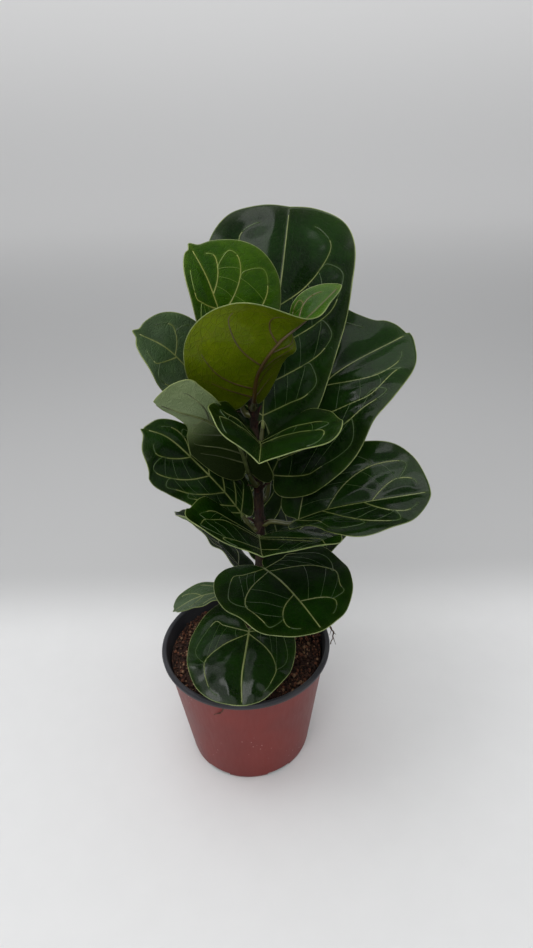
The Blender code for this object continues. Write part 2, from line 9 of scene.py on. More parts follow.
import logging
import math
import random
from dataclasses import dataclass
from enum import Enum
from typing import Any, Dict, List, Optional, Sequence, Tuple, Union

import bmesh
import bpy
import numpy as np
from mathutils import Euler, Matrix, Vector, kdtree


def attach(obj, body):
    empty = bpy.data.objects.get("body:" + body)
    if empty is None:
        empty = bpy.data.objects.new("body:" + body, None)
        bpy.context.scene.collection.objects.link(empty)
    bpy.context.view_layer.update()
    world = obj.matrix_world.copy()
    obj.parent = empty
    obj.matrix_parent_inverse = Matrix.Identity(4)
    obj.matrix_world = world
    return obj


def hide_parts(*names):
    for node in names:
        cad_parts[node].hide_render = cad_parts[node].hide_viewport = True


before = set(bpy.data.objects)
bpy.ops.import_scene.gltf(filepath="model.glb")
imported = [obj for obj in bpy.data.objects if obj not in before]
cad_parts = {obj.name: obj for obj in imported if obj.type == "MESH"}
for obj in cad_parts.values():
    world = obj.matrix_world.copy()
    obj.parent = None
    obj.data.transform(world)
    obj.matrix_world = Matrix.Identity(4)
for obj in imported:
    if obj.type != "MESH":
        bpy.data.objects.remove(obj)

MM = 0.001
Colour = Tuple[float, float, float]
Triple = Tuple[float, float, float]
log = logging.getLogger("fig")


# ---------------------------------------------------------------- shader maths


def linear(colour: Colour) -> Tuple[float, float, float, float]:
    """Turn an sRGB colour given from 0 to 255 into linear red, green, blue and alpha.

    Args:
        colour: Red, green and blue as they are seen on a screen.

    Returns:
        The four linear channels.
    """
    shares = [channel / 255 for channel in colour]
    mixed = [s / 12.92 if s <= 0.04045 else ((s + 0.055) / 1.055) ** 2.4 for s in shares]
    return (mixed[0], mixed[1], mixed[2], 1.0)


class Value:
    """One number socket of a shader, which can be used in arithmetic."""

    def __init__(self, shader: "Shader", socket: bpy.types.NodeSocket) -> None:
        """Wrap an output socket of a shader.

        Args:
            shader: The shader that holds the socket's node.
            socket: The output socket.
        """
        self.shader = shader
        self.socket = socket

    def _math(self, operation: str, first: Any, second: Any) -> "Value":
        """Add a Math node.

        Args:
            operation: The node's operation.
            first: A Value or a number.
            second: A Value or a number.

        Returns:
            The node's result.
        """
        return self.shader.value("ShaderNodeMath", {"operation": operation},
                                 {0: first, 1: second})

    def __add__(self, other: Any) -> "Value":
        """Return the sum."""
        return self._math("ADD", self, other)

    def __radd__(self, other: Any) -> "Value":
        """Return the sum."""
        return self._math("ADD", other, self)

    def __sub__(self, other: Any) -> "Value":
        """Return the difference."""
        return self._math("SUBTRACT", self, other)

    def __rsub__(self, other: Any) -> "Value":
        """Return the difference from another value."""
        return self._math("SUBTRACT", other, self)

    def __mul__(self, other: Any) -> "Value":
        """Return the product."""
        return self._math("MULTIPLY", self, other)

    def __rmul__(self, other: Any) -> "Value":
        """Return the product."""
        return self._math("MULTIPLY", other, self)

    def __pow__(self, power: Any) -> "Value":
        """Return the value raised to a power."""
        return self._math("POWER", self, power)

    def between(self, low: float, high: float) -> "Value":
        """Return 0 below low, 1 above high and a smooth change between them.

        Args:
            low: Where the change starts.
            high: Where it ends.

        Returns:
            The eased share.
        """
        settings = {"interpolation_type": "SMOOTHSTEP"}
        return self.shader.value("ShaderNodeMapRange", settings,
                                 {"Value": self, "From Min": low, "From Max": high})


class Shader:
    """A material with a Principled surface and the nodes that feed it."""

    def __init__(self, name: str) -> None:
        """Start a material.

        Args:
            name: The material's name.
        """
        self.material = bpy.data.materials.new(name)
        self.material.use_nodes = True
        self.tree = self.material.node_tree
        self.surface = self.tree.nodes["Principled BSDF"]

    def node(self, kind: str, settings: Optional[Dict[str, Any]] = None,
             inputs: Optional[Dict[Any, Any]] = None) -> bpy.types.Node:
        """Add a node.

        Args:
            kind: The node's type.
            settings: The node's own properties, set before its sockets; "stops" fills a ramp.
            inputs: A value, Value or socket for each input, by name or number.

        Returns:
            The new node.
        """
        made = self.tree.nodes.new(kind)
        for key, setting in (settings or {}).items():
            if key == "stops":
                ramp = made.color_ramp
                for number, (position, colour) in enumerate(setting):
                    stop = ramp.elements[number] if number < 2 else ramp.elements.new(position)
                    stop.position = position
                    stop.color = linear(colour)
            else:
                setattr(made, key, setting)
        for key, given in (inputs or {}).items():
            self.feed(made.inputs[key], given)
        return made

    def feed(self, socket: bpy.types.NodeSocket, given: Any) -> None:
        """Link a Value or a socket to an input, or set the input to a plain number.

        Args:
            socket: The input.
            given: What it is fed with.
        """
        if isinstance(given, Value):
            given = given.socket
        if isinstance(given, bpy.types.NodeSocket):
            self.tree.links.new(given, socket)
        else:
            socket.default_value = given

    def value(self, kind: str, settings: Optional[Dict[str, Any]] = None,
              inputs: Optional[Dict[Any, Any]] = None, output: Any = 0) -> Value:
        """Add a node and return one of its outputs as a Value."""
        return Value(self, self.node(kind, settings, inputs).outputs[output])

    def place(self) -> bpy.types.NodeSocket:
        """Return the position in the object's own space."""
        return self.node("ShaderNodeTexCoord").outputs["Object"]

    def noise(self, where: bpy.types.NodeSocket, scale: float, detail: float = 3.0,
              distortion: float = 0.0) -> Value:
        """Return cloudy noise between 0 and 1 at a scale given in cells per unit."""
        return self.value("ShaderNodeTexNoise", {}, {"Vector": where, "Scale": scale,
                                                     "Detail": detail, "Distortion": distortion})

    def blend(self, share: Any, first: Any, second: Any, mode: str = "MIX") -> bpy.types.NodeSocket:
        """Mix two colours.

        Args:
            share: How much of the second colour shows, a Value or a number.
            first: A linear colour or a colour socket.
            second: A linear colour or a colour socket.
            mode: The Mix node's blend type.

        Returns:
            The mixed colour's socket.
        """
        mixed = self.node("ShaderNodeMix", {"data_type": "RGBA", "blend_type": mode})
        self.feed(mixed.inputs[0], share)
        self.feed(mixed.inputs[6], first)
        self.feed(mixed.inputs[7], second)
        return mixed.outputs[2]

    def bump(self, height: Value, distance: float, strength: float = 1.0,
             under: Optional[bpy.types.NodeSocket] = None) -> bpy.types.NodeSocket:
        """Add a bump.

        Args:
            height: The height, as a share of the distance.
            distance: How far the highest places stand out, in metres.
            strength: How much of the tilt shows.
            under: A coarser normal that the bump lies on.

        Returns:
            The tilted normal.
        """
        made = self.node("ShaderNodeBump", {}, {"Height": height, "Distance": distance,
                                                "Strength": strength})
        if under is not None:
            self.feed(made.inputs["Normal"], under)
        return made.outputs[0]

    def finish(self, inputs: Dict[str, Any]) -> bpy.types.Material:
        """Set the surface's inputs and return the material.

        Args:
            inputs: A value, Value or socket for each input of the surface, by name.

        Returns:
            The finished material.
        """
        for key, given in inputs.items():
            self.feed(self.surface.inputs[key], given)
        return self.material


# ---------------------------------------------------------------- finishes


class Side(Enum):
    """The two faces of a leaf."""

    UPPER = "upper"
    UNDER = "under"


@dataclass(frozen=True)
class LeafSkin:
    """The waxy surface of one face of a leaf.

    deep and fresh are the greens of its blotches, pale is the tone beside the veins and at the
    margin, grey_tone_and_sheen is the share of pale grey blotches on it, partly the leaf's own greyish
    tone and partly painted sheen, gloss is its specular level, and painted_shade_tone is the darker
    colour that it turns to towards the leaf's base, painted shade where that part lies in shadow.
    """

    name: str
    deep: Colour
    fresh: Colour
    pale: Colour
    roughness: float = 0.34
    coat: float = 0.35
    side: Side = Side.UPPER
    grey_tone_and_sheen: float = 0.0
    gloss: float = 0.05
    painted_shade_tone: Optional[Colour] = None

    def material(self) -> bpy.types.Material:
        """Return the material: blotched green, paler by the veins, with a netted bump."""
        shader = Shader(self.name)
        where = shader.place()
        flat = shader.node("ShaderNodeUVMap", {"uv_map": "flat_leaf"}).outputs[0]
        cloud = shader.noise(where, 24, 4)
        fine = shader.noise(where, 160, 3)
        share = (cloud * 0.75 + fine * 0.25).between(0.38, 0.66)
        colour = shader.blend(share, linear(self.deep), linear(self.fresh))
        cells = shader.value("ShaderNodeTexVoronoi", {"feature": "DISTANCE_TO_EDGE"},
                             {"Vector": flat, "Scale": 62.0, "Randomness": 0.9})
        net = 1 - cells.between(0.0, 0.10)
        small = shader.value("ShaderNodeTexVoronoi", {"feature": "DISTANCE_TO_EDGE"},
                             {"Vector": flat, "Scale": 170.0, "Randomness": 1.0})
        lace = 1 - small.between(0.0, 0.16)
        near = shader.value("ShaderNodeAttribute", {"attribute_name": "near_vein"}, {}, "Fac")
        edge = shader.value("ShaderNodeAttribute", {"attribute_name": "near_edge"}, {}, "Fac")
        pale = linear(self.pale)
        net_share = 0.03 if self.side is Side.UPPER else 0.14
        colour = shader.blend(net * net_share, colour, pale)
        colour = shader.blend(near * 0.16 + edge ** 3.0 * 0.12, colour, pale)
        # Pale grey blotches: partly the leaf's own greyish tone and partly painted sheen.
        if self.grey_tone_and_sheen:
            grey_and_sheen_blotches = shader.noise(where, 14, 2).between(0.35, 0.75) * self.grey_tone_and_sheen
            colour = shader.blend(grey_and_sheen_blotches, colour, linear((176, 188, 172)))
        # Painted shade: the colour darkens towards the leaf's base, where that part lies in shadow.
        if self.painted_shade_tone is not None:
            along = shader.value("ShaderNodeSeparateXYZ", {}, {"Vector": flat}, "X")
            waver = shader.noise(where, 30, 2) * 0.12
            foot = (1 - (along + waver).between(0.46, 0.66)) * 0.92
            colour = shader.blend(foot, colour, linear(self.painted_shade_tone))
        sink = net * -0.6 + lace * -0.3 if self.side is Side.UPPER else net * 0.7 + lace * 0.25
        wide = shader.bump(shader.noise(where, 60, 2), 0.0014, 0.6)
        normal = shader.bump(sink, 0.00042, 0.9, wide)
        rough = fine * 0.14 + cloud * 0.1 + (self.roughness - 0.12)
        return shader.finish({"Base Color": colour, "Roughness": rough, "Normal": normal,
                              "Coat Weight": self.coat, "Coat Roughness": 0.15,
                              "Specular IOR Level": self.gloss})


@dataclass(frozen=True)
class RibSkin:
    """The paler skin of veins, margins and petioles."""

    name: str
    base: Colour
    tip: Colour
    roughness: float = 0.42

    def material(self) -> bpy.types.Material:
        """Return the material: two close tones that change along the rib, with fine streaks."""
        shader = Shader(self.name)
        where = shader.place()
        cloud = shader.noise(where, 70, 4)
        colour = shader.blend(cloud.between(0.35, 0.65), linear(self.base), linear(self.tip))
        streak = shader.noise(where, 520, 2)
        return shader.finish({"Base Color": colour, "Roughness": streak * 0.2 + self.roughness - 0.1,
                              "Normal": shader.bump(streak, 0.0002, 0.5),
                              "Coat Weight": 0.15, "Coat Roughness": 0.3})


@dataclass(frozen=True)
class PlasticSkin:
    """Moulded plastic with a soft sheen, fine scuffs and a few pale specks of dust."""

    name: str
    base: Colour
    worn: Colour
    dust: Colour
    roughness: float = 0.42
    dust_share: float = 0.5

    def material(self) -> bpy.types.Material:
        """Return the material: two close tones, upright scuffs and small pale specks."""
        shader = Shader(self.name)
        where = shader.place()
        cloud = shader.noise(where, 22, 4)
        colour = shader.blend(cloud.between(0.35, 0.7), linear(self.base), linear(self.worn))
        specks = shader.value("ShaderNodeTexVoronoi", {}, {"Vector": where, "Scale": 210.0})
        spots = (1 - specks.between(0.05, 0.16)) * shader.noise(where, 30, 2).between(0.52, 0.62)
        colour = shader.blend(spots * self.dust_share, colour, linear(self.dust))
        upright = shader.node("ShaderNodeMapping", {}, {"Vector": where, "Scale": (1, 1, 0.12)})
        scuff = shader.noise(upright.outputs[0], 420, 2)
        grain = shader.noise(where, 900, 2)
        rough = cloud * 0.16 + scuff * 0.12 + (self.roughness - 0.12)
        normal = shader.bump(scuff, 0.00012, 0.4, shader.bump(grain, 0.00006, 0.5))
        return shader.finish({"Base Color": colour, "Roughness": rough, "Normal": normal,
                              "Specular IOR Level": 0.25})


@dataclass(frozen=True)
class EarthSkin:
    """Dry fibrous matter: soil, crumbs, bark, dry scales and roots."""

    name: str
    dark: Colour
    middle: Colour
    light: Colour
    grain: float = 700.0
    depth: float = 0.0005
    roughness: float = 0.9
    stretch: float = 1.0

    def material(self) -> bpy.types.Material:
        """Return the material: three mottled tones with a coarse bump."""
        shader = Shader(self.name)
        where = shader.node("ShaderNodeMapping", {}, {"Vector": shader.place(),
                                                      "Scale": (1, 1, self.stretch)}).outputs[0]
        coarse = shader.noise(where, self.grain * 0.35, 4)
        fine = shader.noise(where, self.grain, 5)
        colour = shader.blend(coarse.between(0.36, 0.62), linear(self.dark), linear(self.middle))
        colour = shader.blend(fine.between(0.52, 0.74), colour, linear(self.light))
        bumps = coarse * 0.6 + fine * 0.4
        return shader.finish({"Base Color": colour, "Roughness": fine * 0.2 + self.roughness - 0.1,
                              "Normal": shader.bump(bumps, self.depth, 0.9),
                              "Specular IOR Level": 0.3})


TERRACOTTA = PlasticSkin("pot_terracotta", (112, 34, 29), (122, 42, 36), (206, 176, 168))
DARK_RIM = PlasticSkin("pot_rim_grey", (44, 44, 48), (60, 60, 64), (120, 112, 104),
                       roughness=0.4, dust_share=0.35)
SOIL_BED = EarthSkin("soil_bed", (22, 12, 9), (48, 29, 21), (84, 56, 40), depth=0.0012)
CRUMB_DARK = EarthSkin("crumb_dark", (36, 20, 15), (58, 34, 25), (84, 56, 42))
CRUMB_RED = EarthSkin("crumb_red", (74, 42, 29), (98, 60, 42), (126, 84, 60))
CRUMB_PALE = EarthSkin("crumb_pale", (98, 70, 50), (126, 96, 72), (152, 124, 98))
FIBRE = EarthSkin("coir_fibre", (66, 42, 28), (104, 72, 48), (140, 108, 78), stretch=0.4)
STEM_BARK = EarthSkin("stem_bark", (26, 17, 12), (46, 32, 21), (66, 52, 35), grain=900,
                      roughness=0.72, stretch=0.5)
DRY_SCALE = EarthSkin("dry_scale_paper", (30, 16, 14), (52, 28, 24), (86, 56, 44), grain=900,
                      depth=0.0003, roughness=0.7, stretch=0.25)
ROOT_SKIN = EarthSkin("root_skin", (58, 42, 32), (88, 68, 52), (120, 98, 78), grain=1100,
                      roughness=0.85)

MATURE_UPPER = LeafSkin("leaf_upper_mature", (7, 26, 2), (18, 45, 5), (80, 100, 36),
                        roughness=0.2, coat=0.24)
TALL_UPPER = LeafSkin("leaf_upper_tall", (7, 27, 2), (18, 46, 5), (80, 100, 36),
                      roughness=0.2, coat=0.3)
LOW_UPPER = LeafSkin("leaf_upper_low", (7, 26, 1), (17, 44, 4), (80, 100, 36),
                     roughness=0.24, coat=0.01, gloss=0.015)
MATURE_UNDER = LeafSkin("leaf_under_mature", (72, 98, 40), (92, 116, 54), (136, 148, 86),
                        roughness=0.5, coat=0.08, side=Side.UNDER)
YOUNG_UPPER = LeafSkin("leaf_upper_young", (30, 62, 1), (54, 88, 4), (118, 132, 50),
                       roughness=0.3, coat=0.2)
YOUNG_UNDER = LeafSkin("leaf_under_young", (78, 96, 1), (98, 114, 3), (104, 96, 36),
                       roughness=0.46, coat=0.1, side=Side.UNDER)
# A pale underside whose grey blotches are partly its own tone and partly painted sheen, darkened by
# painted shade towards the base.
PALE_UNDER = LeafSkin("leaf_under_pale", (82, 100, 46), (102, 118, 66), (140, 150, 104),
                      roughness=0.5, coat=0.01, side=Side.UNDER, grey_tone_and_sheen=0.2, gloss=0.02,
                      painted_shade_tone=(20, 34, 5))
# Greyish greens and pale blotches: partly the leaves' own lighter tone and partly painted sheen.
SHEEN_GREY_UPPER = LeafSkin("leaf_upper_grey_sheen", (32, 56, 20), (54, 80, 36), (104, 120, 72),
                      roughness=0.32, coat=0.25, grey_tone_and_sheen=0.14)
PALE_RIB = RibSkin("rib_pale", (90, 102, 46), (120, 128, 72))
FINE_RIB = RibSkin("rib_fine", (38, 62, 20), (56, 78, 30))
SHADED_RIB = RibSkin("rib_shaded", (48, 56, 22), (92, 102, 58))
YOUNG_RIB = RibSkin("rib_young", (112, 122, 40), (138, 144, 66))
YOUNG_FINE_RIB = RibSkin("rib_young_fine", (80, 108, 20), (98, 122, 34))
BROWN_RIB = RibSkin("rib_brown", (62, 44, 14), (78, 60, 22))
BROWN_FINE_RIB = RibSkin("rib_brown_fine", (70, 62, 12), (82, 76, 14))
PETIOLE_SKIN = RibSkin("petiole_green", (58, 62, 28), (80, 82, 40))
EDGE_SKIN = RibSkin("leaf_edge", (86, 102, 46), (124, 136, 76))


# ---------------------------------------------------------------- curves and meshes


def span_point(knots: Sequence[np.ndarray], t: Union[float, np.ndarray]) -> np.ndarray:
    """Return a point between the middle two of four knots of a smooth curve.

    Args:
        knots: The four knots.
        t: The place between the middle two, from 0 to 1.

    Returns:
        The point.
    """
    a, b, c, d = knots
    return 0.5 * (2 * b + (c - a) * t + (2 * a - 5 * b + 4 * c - d) * t ** 2
                  + (3 * b - a - 3 * c + d) * t ** 3)


def smooth_line(points: Sequence[Triple], shares: np.ndarray) -> np.ndarray:
    """Return points of a smooth curve through the given points.

    Args:
        points: The points that the curve passes through.
        shares: Places along it from 0 to 1.

    Returns:
        One row for each share.
    """
    knots = np.array(points, float)
    knots = np.vstack([2 * knots[0] - knots[1], knots, 2 * knots[-1] - knots[-2]])
    place_on = np.clip(shares, 0, 1) * (len(points) - 1)
    index = np.minimum(place_on.astype(int), len(points) - 2)
    t = (place_on - index)[:, None]
    return span_point([knots[index + k] for k in range(4)], t)


def new_object(name: str, data: bpy.types.ID) -> bpy.types.Object:
    """Put a new object in the scene.

    Args:
        name: The object's name.
        data: Its mesh, curve, light or camera.

    Returns:
        The object, at the origin.
    """
    made = bpy.data.objects.new(name, data)
    bpy.context.scene.collection.objects.link(made)
    return made


def applied_mesh(carrier: bpy.types.Object) -> bpy.types.Mesh:
    """Return an object's mesh with its modifiers or its bevel applied, and remove the object.

    Args:
        carrier: The object.

    Returns:
        The new mesh.
    """
    bpy.context.view_layer.update()
    settled = carrier.evaluated_get(bpy.context.evaluated_depsgraph_get())
    mesh = bpy.data.meshes.new_from_object(settled)
    bpy.data.objects.remove(carrier)
    return mesh


def unit(vectors: np.ndarray) -> np.ndarray:
    """Return the vectors at length one."""
    return vectors / np.maximum(np.linalg.norm(vectors, axis=-1, keepdims=True), 1e-12)


@dataclass
class Strand:
    """One tube of a curve: its points in millimetres, its radii and its material slot."""

    points: np.ndarray
    radii: np.ndarray
    slot: int = 0
    closed: bool = False


def strand_mesh(name: str, strands: Sequence[Strand], roundness: int = 1) -> bpy.types.Mesh:
    """Make a mesh of round tubes.

    Args:
        name: The mesh's name.
        strands: The tubes.
        roundness: The bevel resolution, which sets the number of sides.

    Returns:
        The mesh, in metres.
    """
    curve = bpy.data.curves.new(name, "CURVE")
    curve.dimensions = "3D"
    curve.bevel_depth = MM
    curve.bevel_resolution = roundness
    curve.use_fill_caps = True
    for _ in range(max(strand.slot for strand in strands) + 1):
        curve.materials.append(None)
    for strand in strands:
        spline = curve.splines.new("POLY")
        spline.points.add(len(strand.points) - 1)
        rows = np.column_stack([strand.points * MM, np.ones(len(strand.points))])
        spline.points.foreach_set("co", rows.ravel())
        spline.points.foreach_set("radius", np.array(strand.radii, float))
        spline.use_cyclic_u = strand.closed
        spline.material_index = strand.slot
        spline.use_smooth = True
    mesh = applied_mesh(new_object(name, curve))
    bpy.data.curves.remove(curve)
    joined = bmesh.new()
    joined.from_mesh(mesh)
    bmesh.ops.remove_doubles(joined, verts=joined.verts, dist=1e-7)
    bmesh.ops.recalc_face_normals(joined, faces=joined.faces)
    joined.to_mesh(mesh)
    joined.free()
    return mesh


def shell_mesh(name: str, surface: bpy.types.Mesh, thickness: float) -> bpy.types.Mesh:
    """Give an open surface a thickness: slot 0 outside, slot 1 on the other side, slot 2 round it.

    Args:
        name: The new mesh's name.
        surface: The open surface, which is used up.
        thickness: The wall's thickness in millimetres.

    Returns:
        The closed mesh.
    """
    carrier = new_object(name, surface)
    wall = carrier.modifiers.new("thickness", "SOLIDIFY")
    wall.thickness = thickness * MM
    wall.offset = 0.0
    wall.material_offset = 1
    wall.material_offset_rim = 2
    for _ in range(3):
        surface.materials.append(None)
    mesh = applied_mesh(carrier)
    bpy.data.meshes.remove(surface)
    return mesh


def join_meshes(name: str, meshes: Sequence[bpy.types.Mesh]) -> bpy.types.Mesh:
    """Put several meshes into one, keep their slots and shade it smooth.

    Args:
        name: The new mesh's name.
        meshes: The meshes, which are used up.

    Returns:
        The joined mesh.
    """
    joined = bmesh.new()
    for mesh in meshes:
        joined.from_mesh(mesh)
    for face in joined.faces:
        face.smooth = True
    result = bpy.data.meshes.new(name)
    joined.to_mesh(result)
    joined.free()
    for mesh in meshes:
        bpy.data.meshes.remove(mesh)
    return result


def add_piece(name: str, mesh: bpy.types.Mesh, materials: Sequence[bpy.types.Material],
              nodes: Sequence[str] = ()) -> bpy.types.Object:
    """Put a finished piece on the plant.

    Args:
        name: The piece's name.
        mesh: Its mesh, in metres, in its place.
        materials: One material for each slot of the mesh.
        nodes: The solids that the piece stands for.

    Returns:
        The new object.
    """
    for number, material in enumerate(materials):
        if number < len(mesh.materials):
            mesh.materials[number] = material
        else:
            mesh.materials.append(material)
    piece = new_object(name, mesh)
    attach(piece, "root")
    if nodes:
        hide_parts(*nodes)
    log.info("%s: %d faces", name, len(mesh.polygons))
    return piece


# ---------------------------------------------------------------- leaves

# Half outlines from the notch at the base to the apex: share of the length, share of the width.
OUTLINES: Dict[str, Tuple[Tuple[float, float], ...]] = {
    "fiddle": (
        (0.035, 0), (-0.03, 0.16), (-0.015, 0.36), (0.10, 0.58), (0.27, 0.70), (0.45, 0.78),
        (0.60, 0.92), (0.75, 1.0), (0.89, 0.84), (0.97, 0.48), (0.99, 0.14), (1.02, 0),
    ),
    "tall": (
        (0.04, 0), (-0.03, 0.16), (-0.01, 0.42), (0.09, 0.74), (0.26, 0.86), (0.46, 0.95),
        (0.66, 1.0), (0.82, 0.95), (0.935, 0.74), (0.99, 0.36), (1.0, 0),
    ),
    "oblong": (
        (0.04, 0), (-0.04, 0.16), (-0.04, 0.40), (0.08, 0.72), (0.26, 0.90), (0.46, 1.0),
        (0.66, 0.98), (0.82, 0.86), (0.93, 0.60), (0.985, 0.25), (1.0, 0),
    ),
    "round": (
        (0.05, 0), (-0.05, 0.18), (-0.06, 0.42), (0.05, 0.72), (0.25, 0.90), (0.45, 0.96),
        (0.62, 1.0), (0.78, 0.93), (0.90, 0.70), (0.97, 0.38), (0.985, 0.12), (1.02, 0),
    ),
    "young": (
        (0.02, 0), (0.0, 0.14), (0.04, 0.36), (0.16, 0.62), (0.32, 0.82), (0.50, 0.96),
        (0.64, 1.0), (0.78, 0.90), (0.89, 0.66), (0.965, 0.34), (0.985, 0.12), (1.02, 0),
    ),
    "waisted": (
        (0.05, 0), (-0.06, 0.20), (-0.05, 0.50), (0.08, 0.84), (0.25, 0.86), (0.42, 0.66),
        (0.58, 0.60), (0.72, 0.68), (0.85, 0.66), (0.94, 0.46), (0.985, 0.20), (1.0, 0),
    ),
    "heart": (
        (0.05, 0), (-0.06, 0.20), (-0.05, 0.50), (0.10, 0.86), (0.28, 1.04), (0.45, 0.97),
        (0.60, 0.68), (0.72, 0.34), (0.84, 0.15), (0.94, 0.09), (1.0, 0),
    ),
    "eared": (
        (0.0, 0), (-0.10, 0.20), (-0.14, 0.42), (-0.08, 0.58), (0.04, 0.58), (0.18, 0.49),
        (0.32, 0.40), (0.46, 0.38), (0.58, 0.44), (0.72, 0.68), (0.86, 0.84), (0.95, 0.62),
        (1.0, 0.30), (1.02, 0),
    ),
    "cornered": (
        (0.05, 0), (-0.06, 0.20), (-0.05, 0.44), (0.09, 0.70), (0.23, 0.96), (0.35, 1.07),
        (0.46, 0.95), (0.60, 0.62), (0.73, 0.32), (0.84, 0.15), (0.94, 0.09), (1.0, 0),
    ),
    "notched": (
        (0.04, 0), (-0.04, 0.16), (-0.02, 0.45), (0.10, 0.78), (0.28, 0.95), (0.46, 1.08),
        (0.62, 1.15), (0.74, 1.04), (0.82, 0.72), (0.88, 0.48), (0.93, 0.38), (0.965, 0.24),
        (0.98, 0.10), (0.985, 0),
    ),
    "hipped": (
        (0.03, 0), (-0.02, 0.12), (0.0, 0.30), (0.10, 0.46), (0.24, 0.64), (0.38, 0.98),
        (0.50, 1.10), (0.64, 1.00), (0.78, 0.80), (0.90, 0.55), (0.97, 0.28), (1.0, 0),
    ),
    "belly": (
        (0.04, 0), (-0.03, 0.16), (-0.02, 0.40), (0.09, 0.78), (0.26, 1.0), (0.46, 1.0),
        (0.64, 0.90), (0.80, 0.72), (0.92, 0.48), (0.98, 0.20), (1.0, 0),
    ),
    "cordate": (
        (0.0, 0), (-0.10, 0.09), (-0.17, 0.28), (-0.16, 0.54), (-0.02, 0.83), (0.25, 1.0),
        (0.50, 0.98), (0.75, 0.80), (0.92, 0.50), (0.985, 0.20), (1.0, 0),
    ),
    "lobed": (
        (0.0, 0), (-0.16, 0.16), (-0.36, 0.32), (-0.38, 0.56), (-0.16, 0.85), (0.15, 1.0),
        (0.45, 0.98), (0.72, 0.80), (0.91, 0.50), (0.985, 0.20), (1.0, 0),
    ),
}


# Side veins of one half from base to apex: the share of the midrib where one starts, the angle from
# the apex at which it nears the margin, and how far it bows outward.
LONG_VEINS: Tuple[Triple, ...] = (
    (0.03, 140, 0.0), (0.10, 108, 0.06), (0.24, 80, 0.1), (0.42, 55, 0.15), (0.62, 30, 0.12),
)


class Outline:
    """A half outline as a distance from the blade's middle at each angle, in half lengths."""

    steps: int = 10

    def __init__(self, name: str) -> None:
        """Work out the distances of a named outline.

        Args:
            name: One of the names in OUTLINES.
        """
        half = np.array([(2 * along - 1, across) for along, across in OUTLINES[name]], float)
        knots = np.vstack([half[1] * (1, -1), half, half[-2] * (1, -1)])
        rows: List[Tuple[float, float]] = []
        for four in zip(knots, knots[1:], knots[2:], knots[3:]):
            for t in np.linspace(0, 1, self.steps, endpoint=False):
                point = span_point(four, t)
                rows.append((math.atan2(point[1], point[0]), float(np.hypot(*point))))
        rows.append((0.0, float(np.hypot(*half[-1]))))
        table = np.array(sorted(rows))
        self.angles, self.reaches = table[:, 0], table[:, 1]

    def reach(self, angles: np.ndarray) -> np.ndarray:
        """Return the distances at angles from 0 at the apex to pi at the base."""
        return np.interp(angles, self.angles, self.reaches)


@dataclass(frozen=True)
class LeafShape:
    """One leaf, given by its midrib and by how each half of the blade rises from it.

    The midrib runs from the blade's base to its apex. faces is the direction of the upper side,
    from the base to the apex. A fold is the angle of that half above the midrib at the base, at the
    apex, and what the margin adds. Lengths are in millimetres and angles in degrees.
    """

    name: str
    node_height: float
    midrib: Tuple[Triple, ...]
    half_widths: Tuple[float, float]
    faces: Tuple[Triple, ...]
    left_fold: Triple
    right_fold: Triple
    outline: str
    right_outline: str = ""
    upper: LeafSkin = MATURE_UPPER
    under: LeafSkin = MATURE_UNDER
    rib: RibSkin = PALE_RIB
    fine_rib: RibSkin = FINE_RIB
    slot: str = "leaf_dark"
    left_veins: Tuple[Triple, ...] = LONG_VEINS
    right_veins: Tuple[Triple, ...] = LONG_VEINS
    quilt: float = 1.7
    ruffle: float = 1.6
    phase: float = 0.0


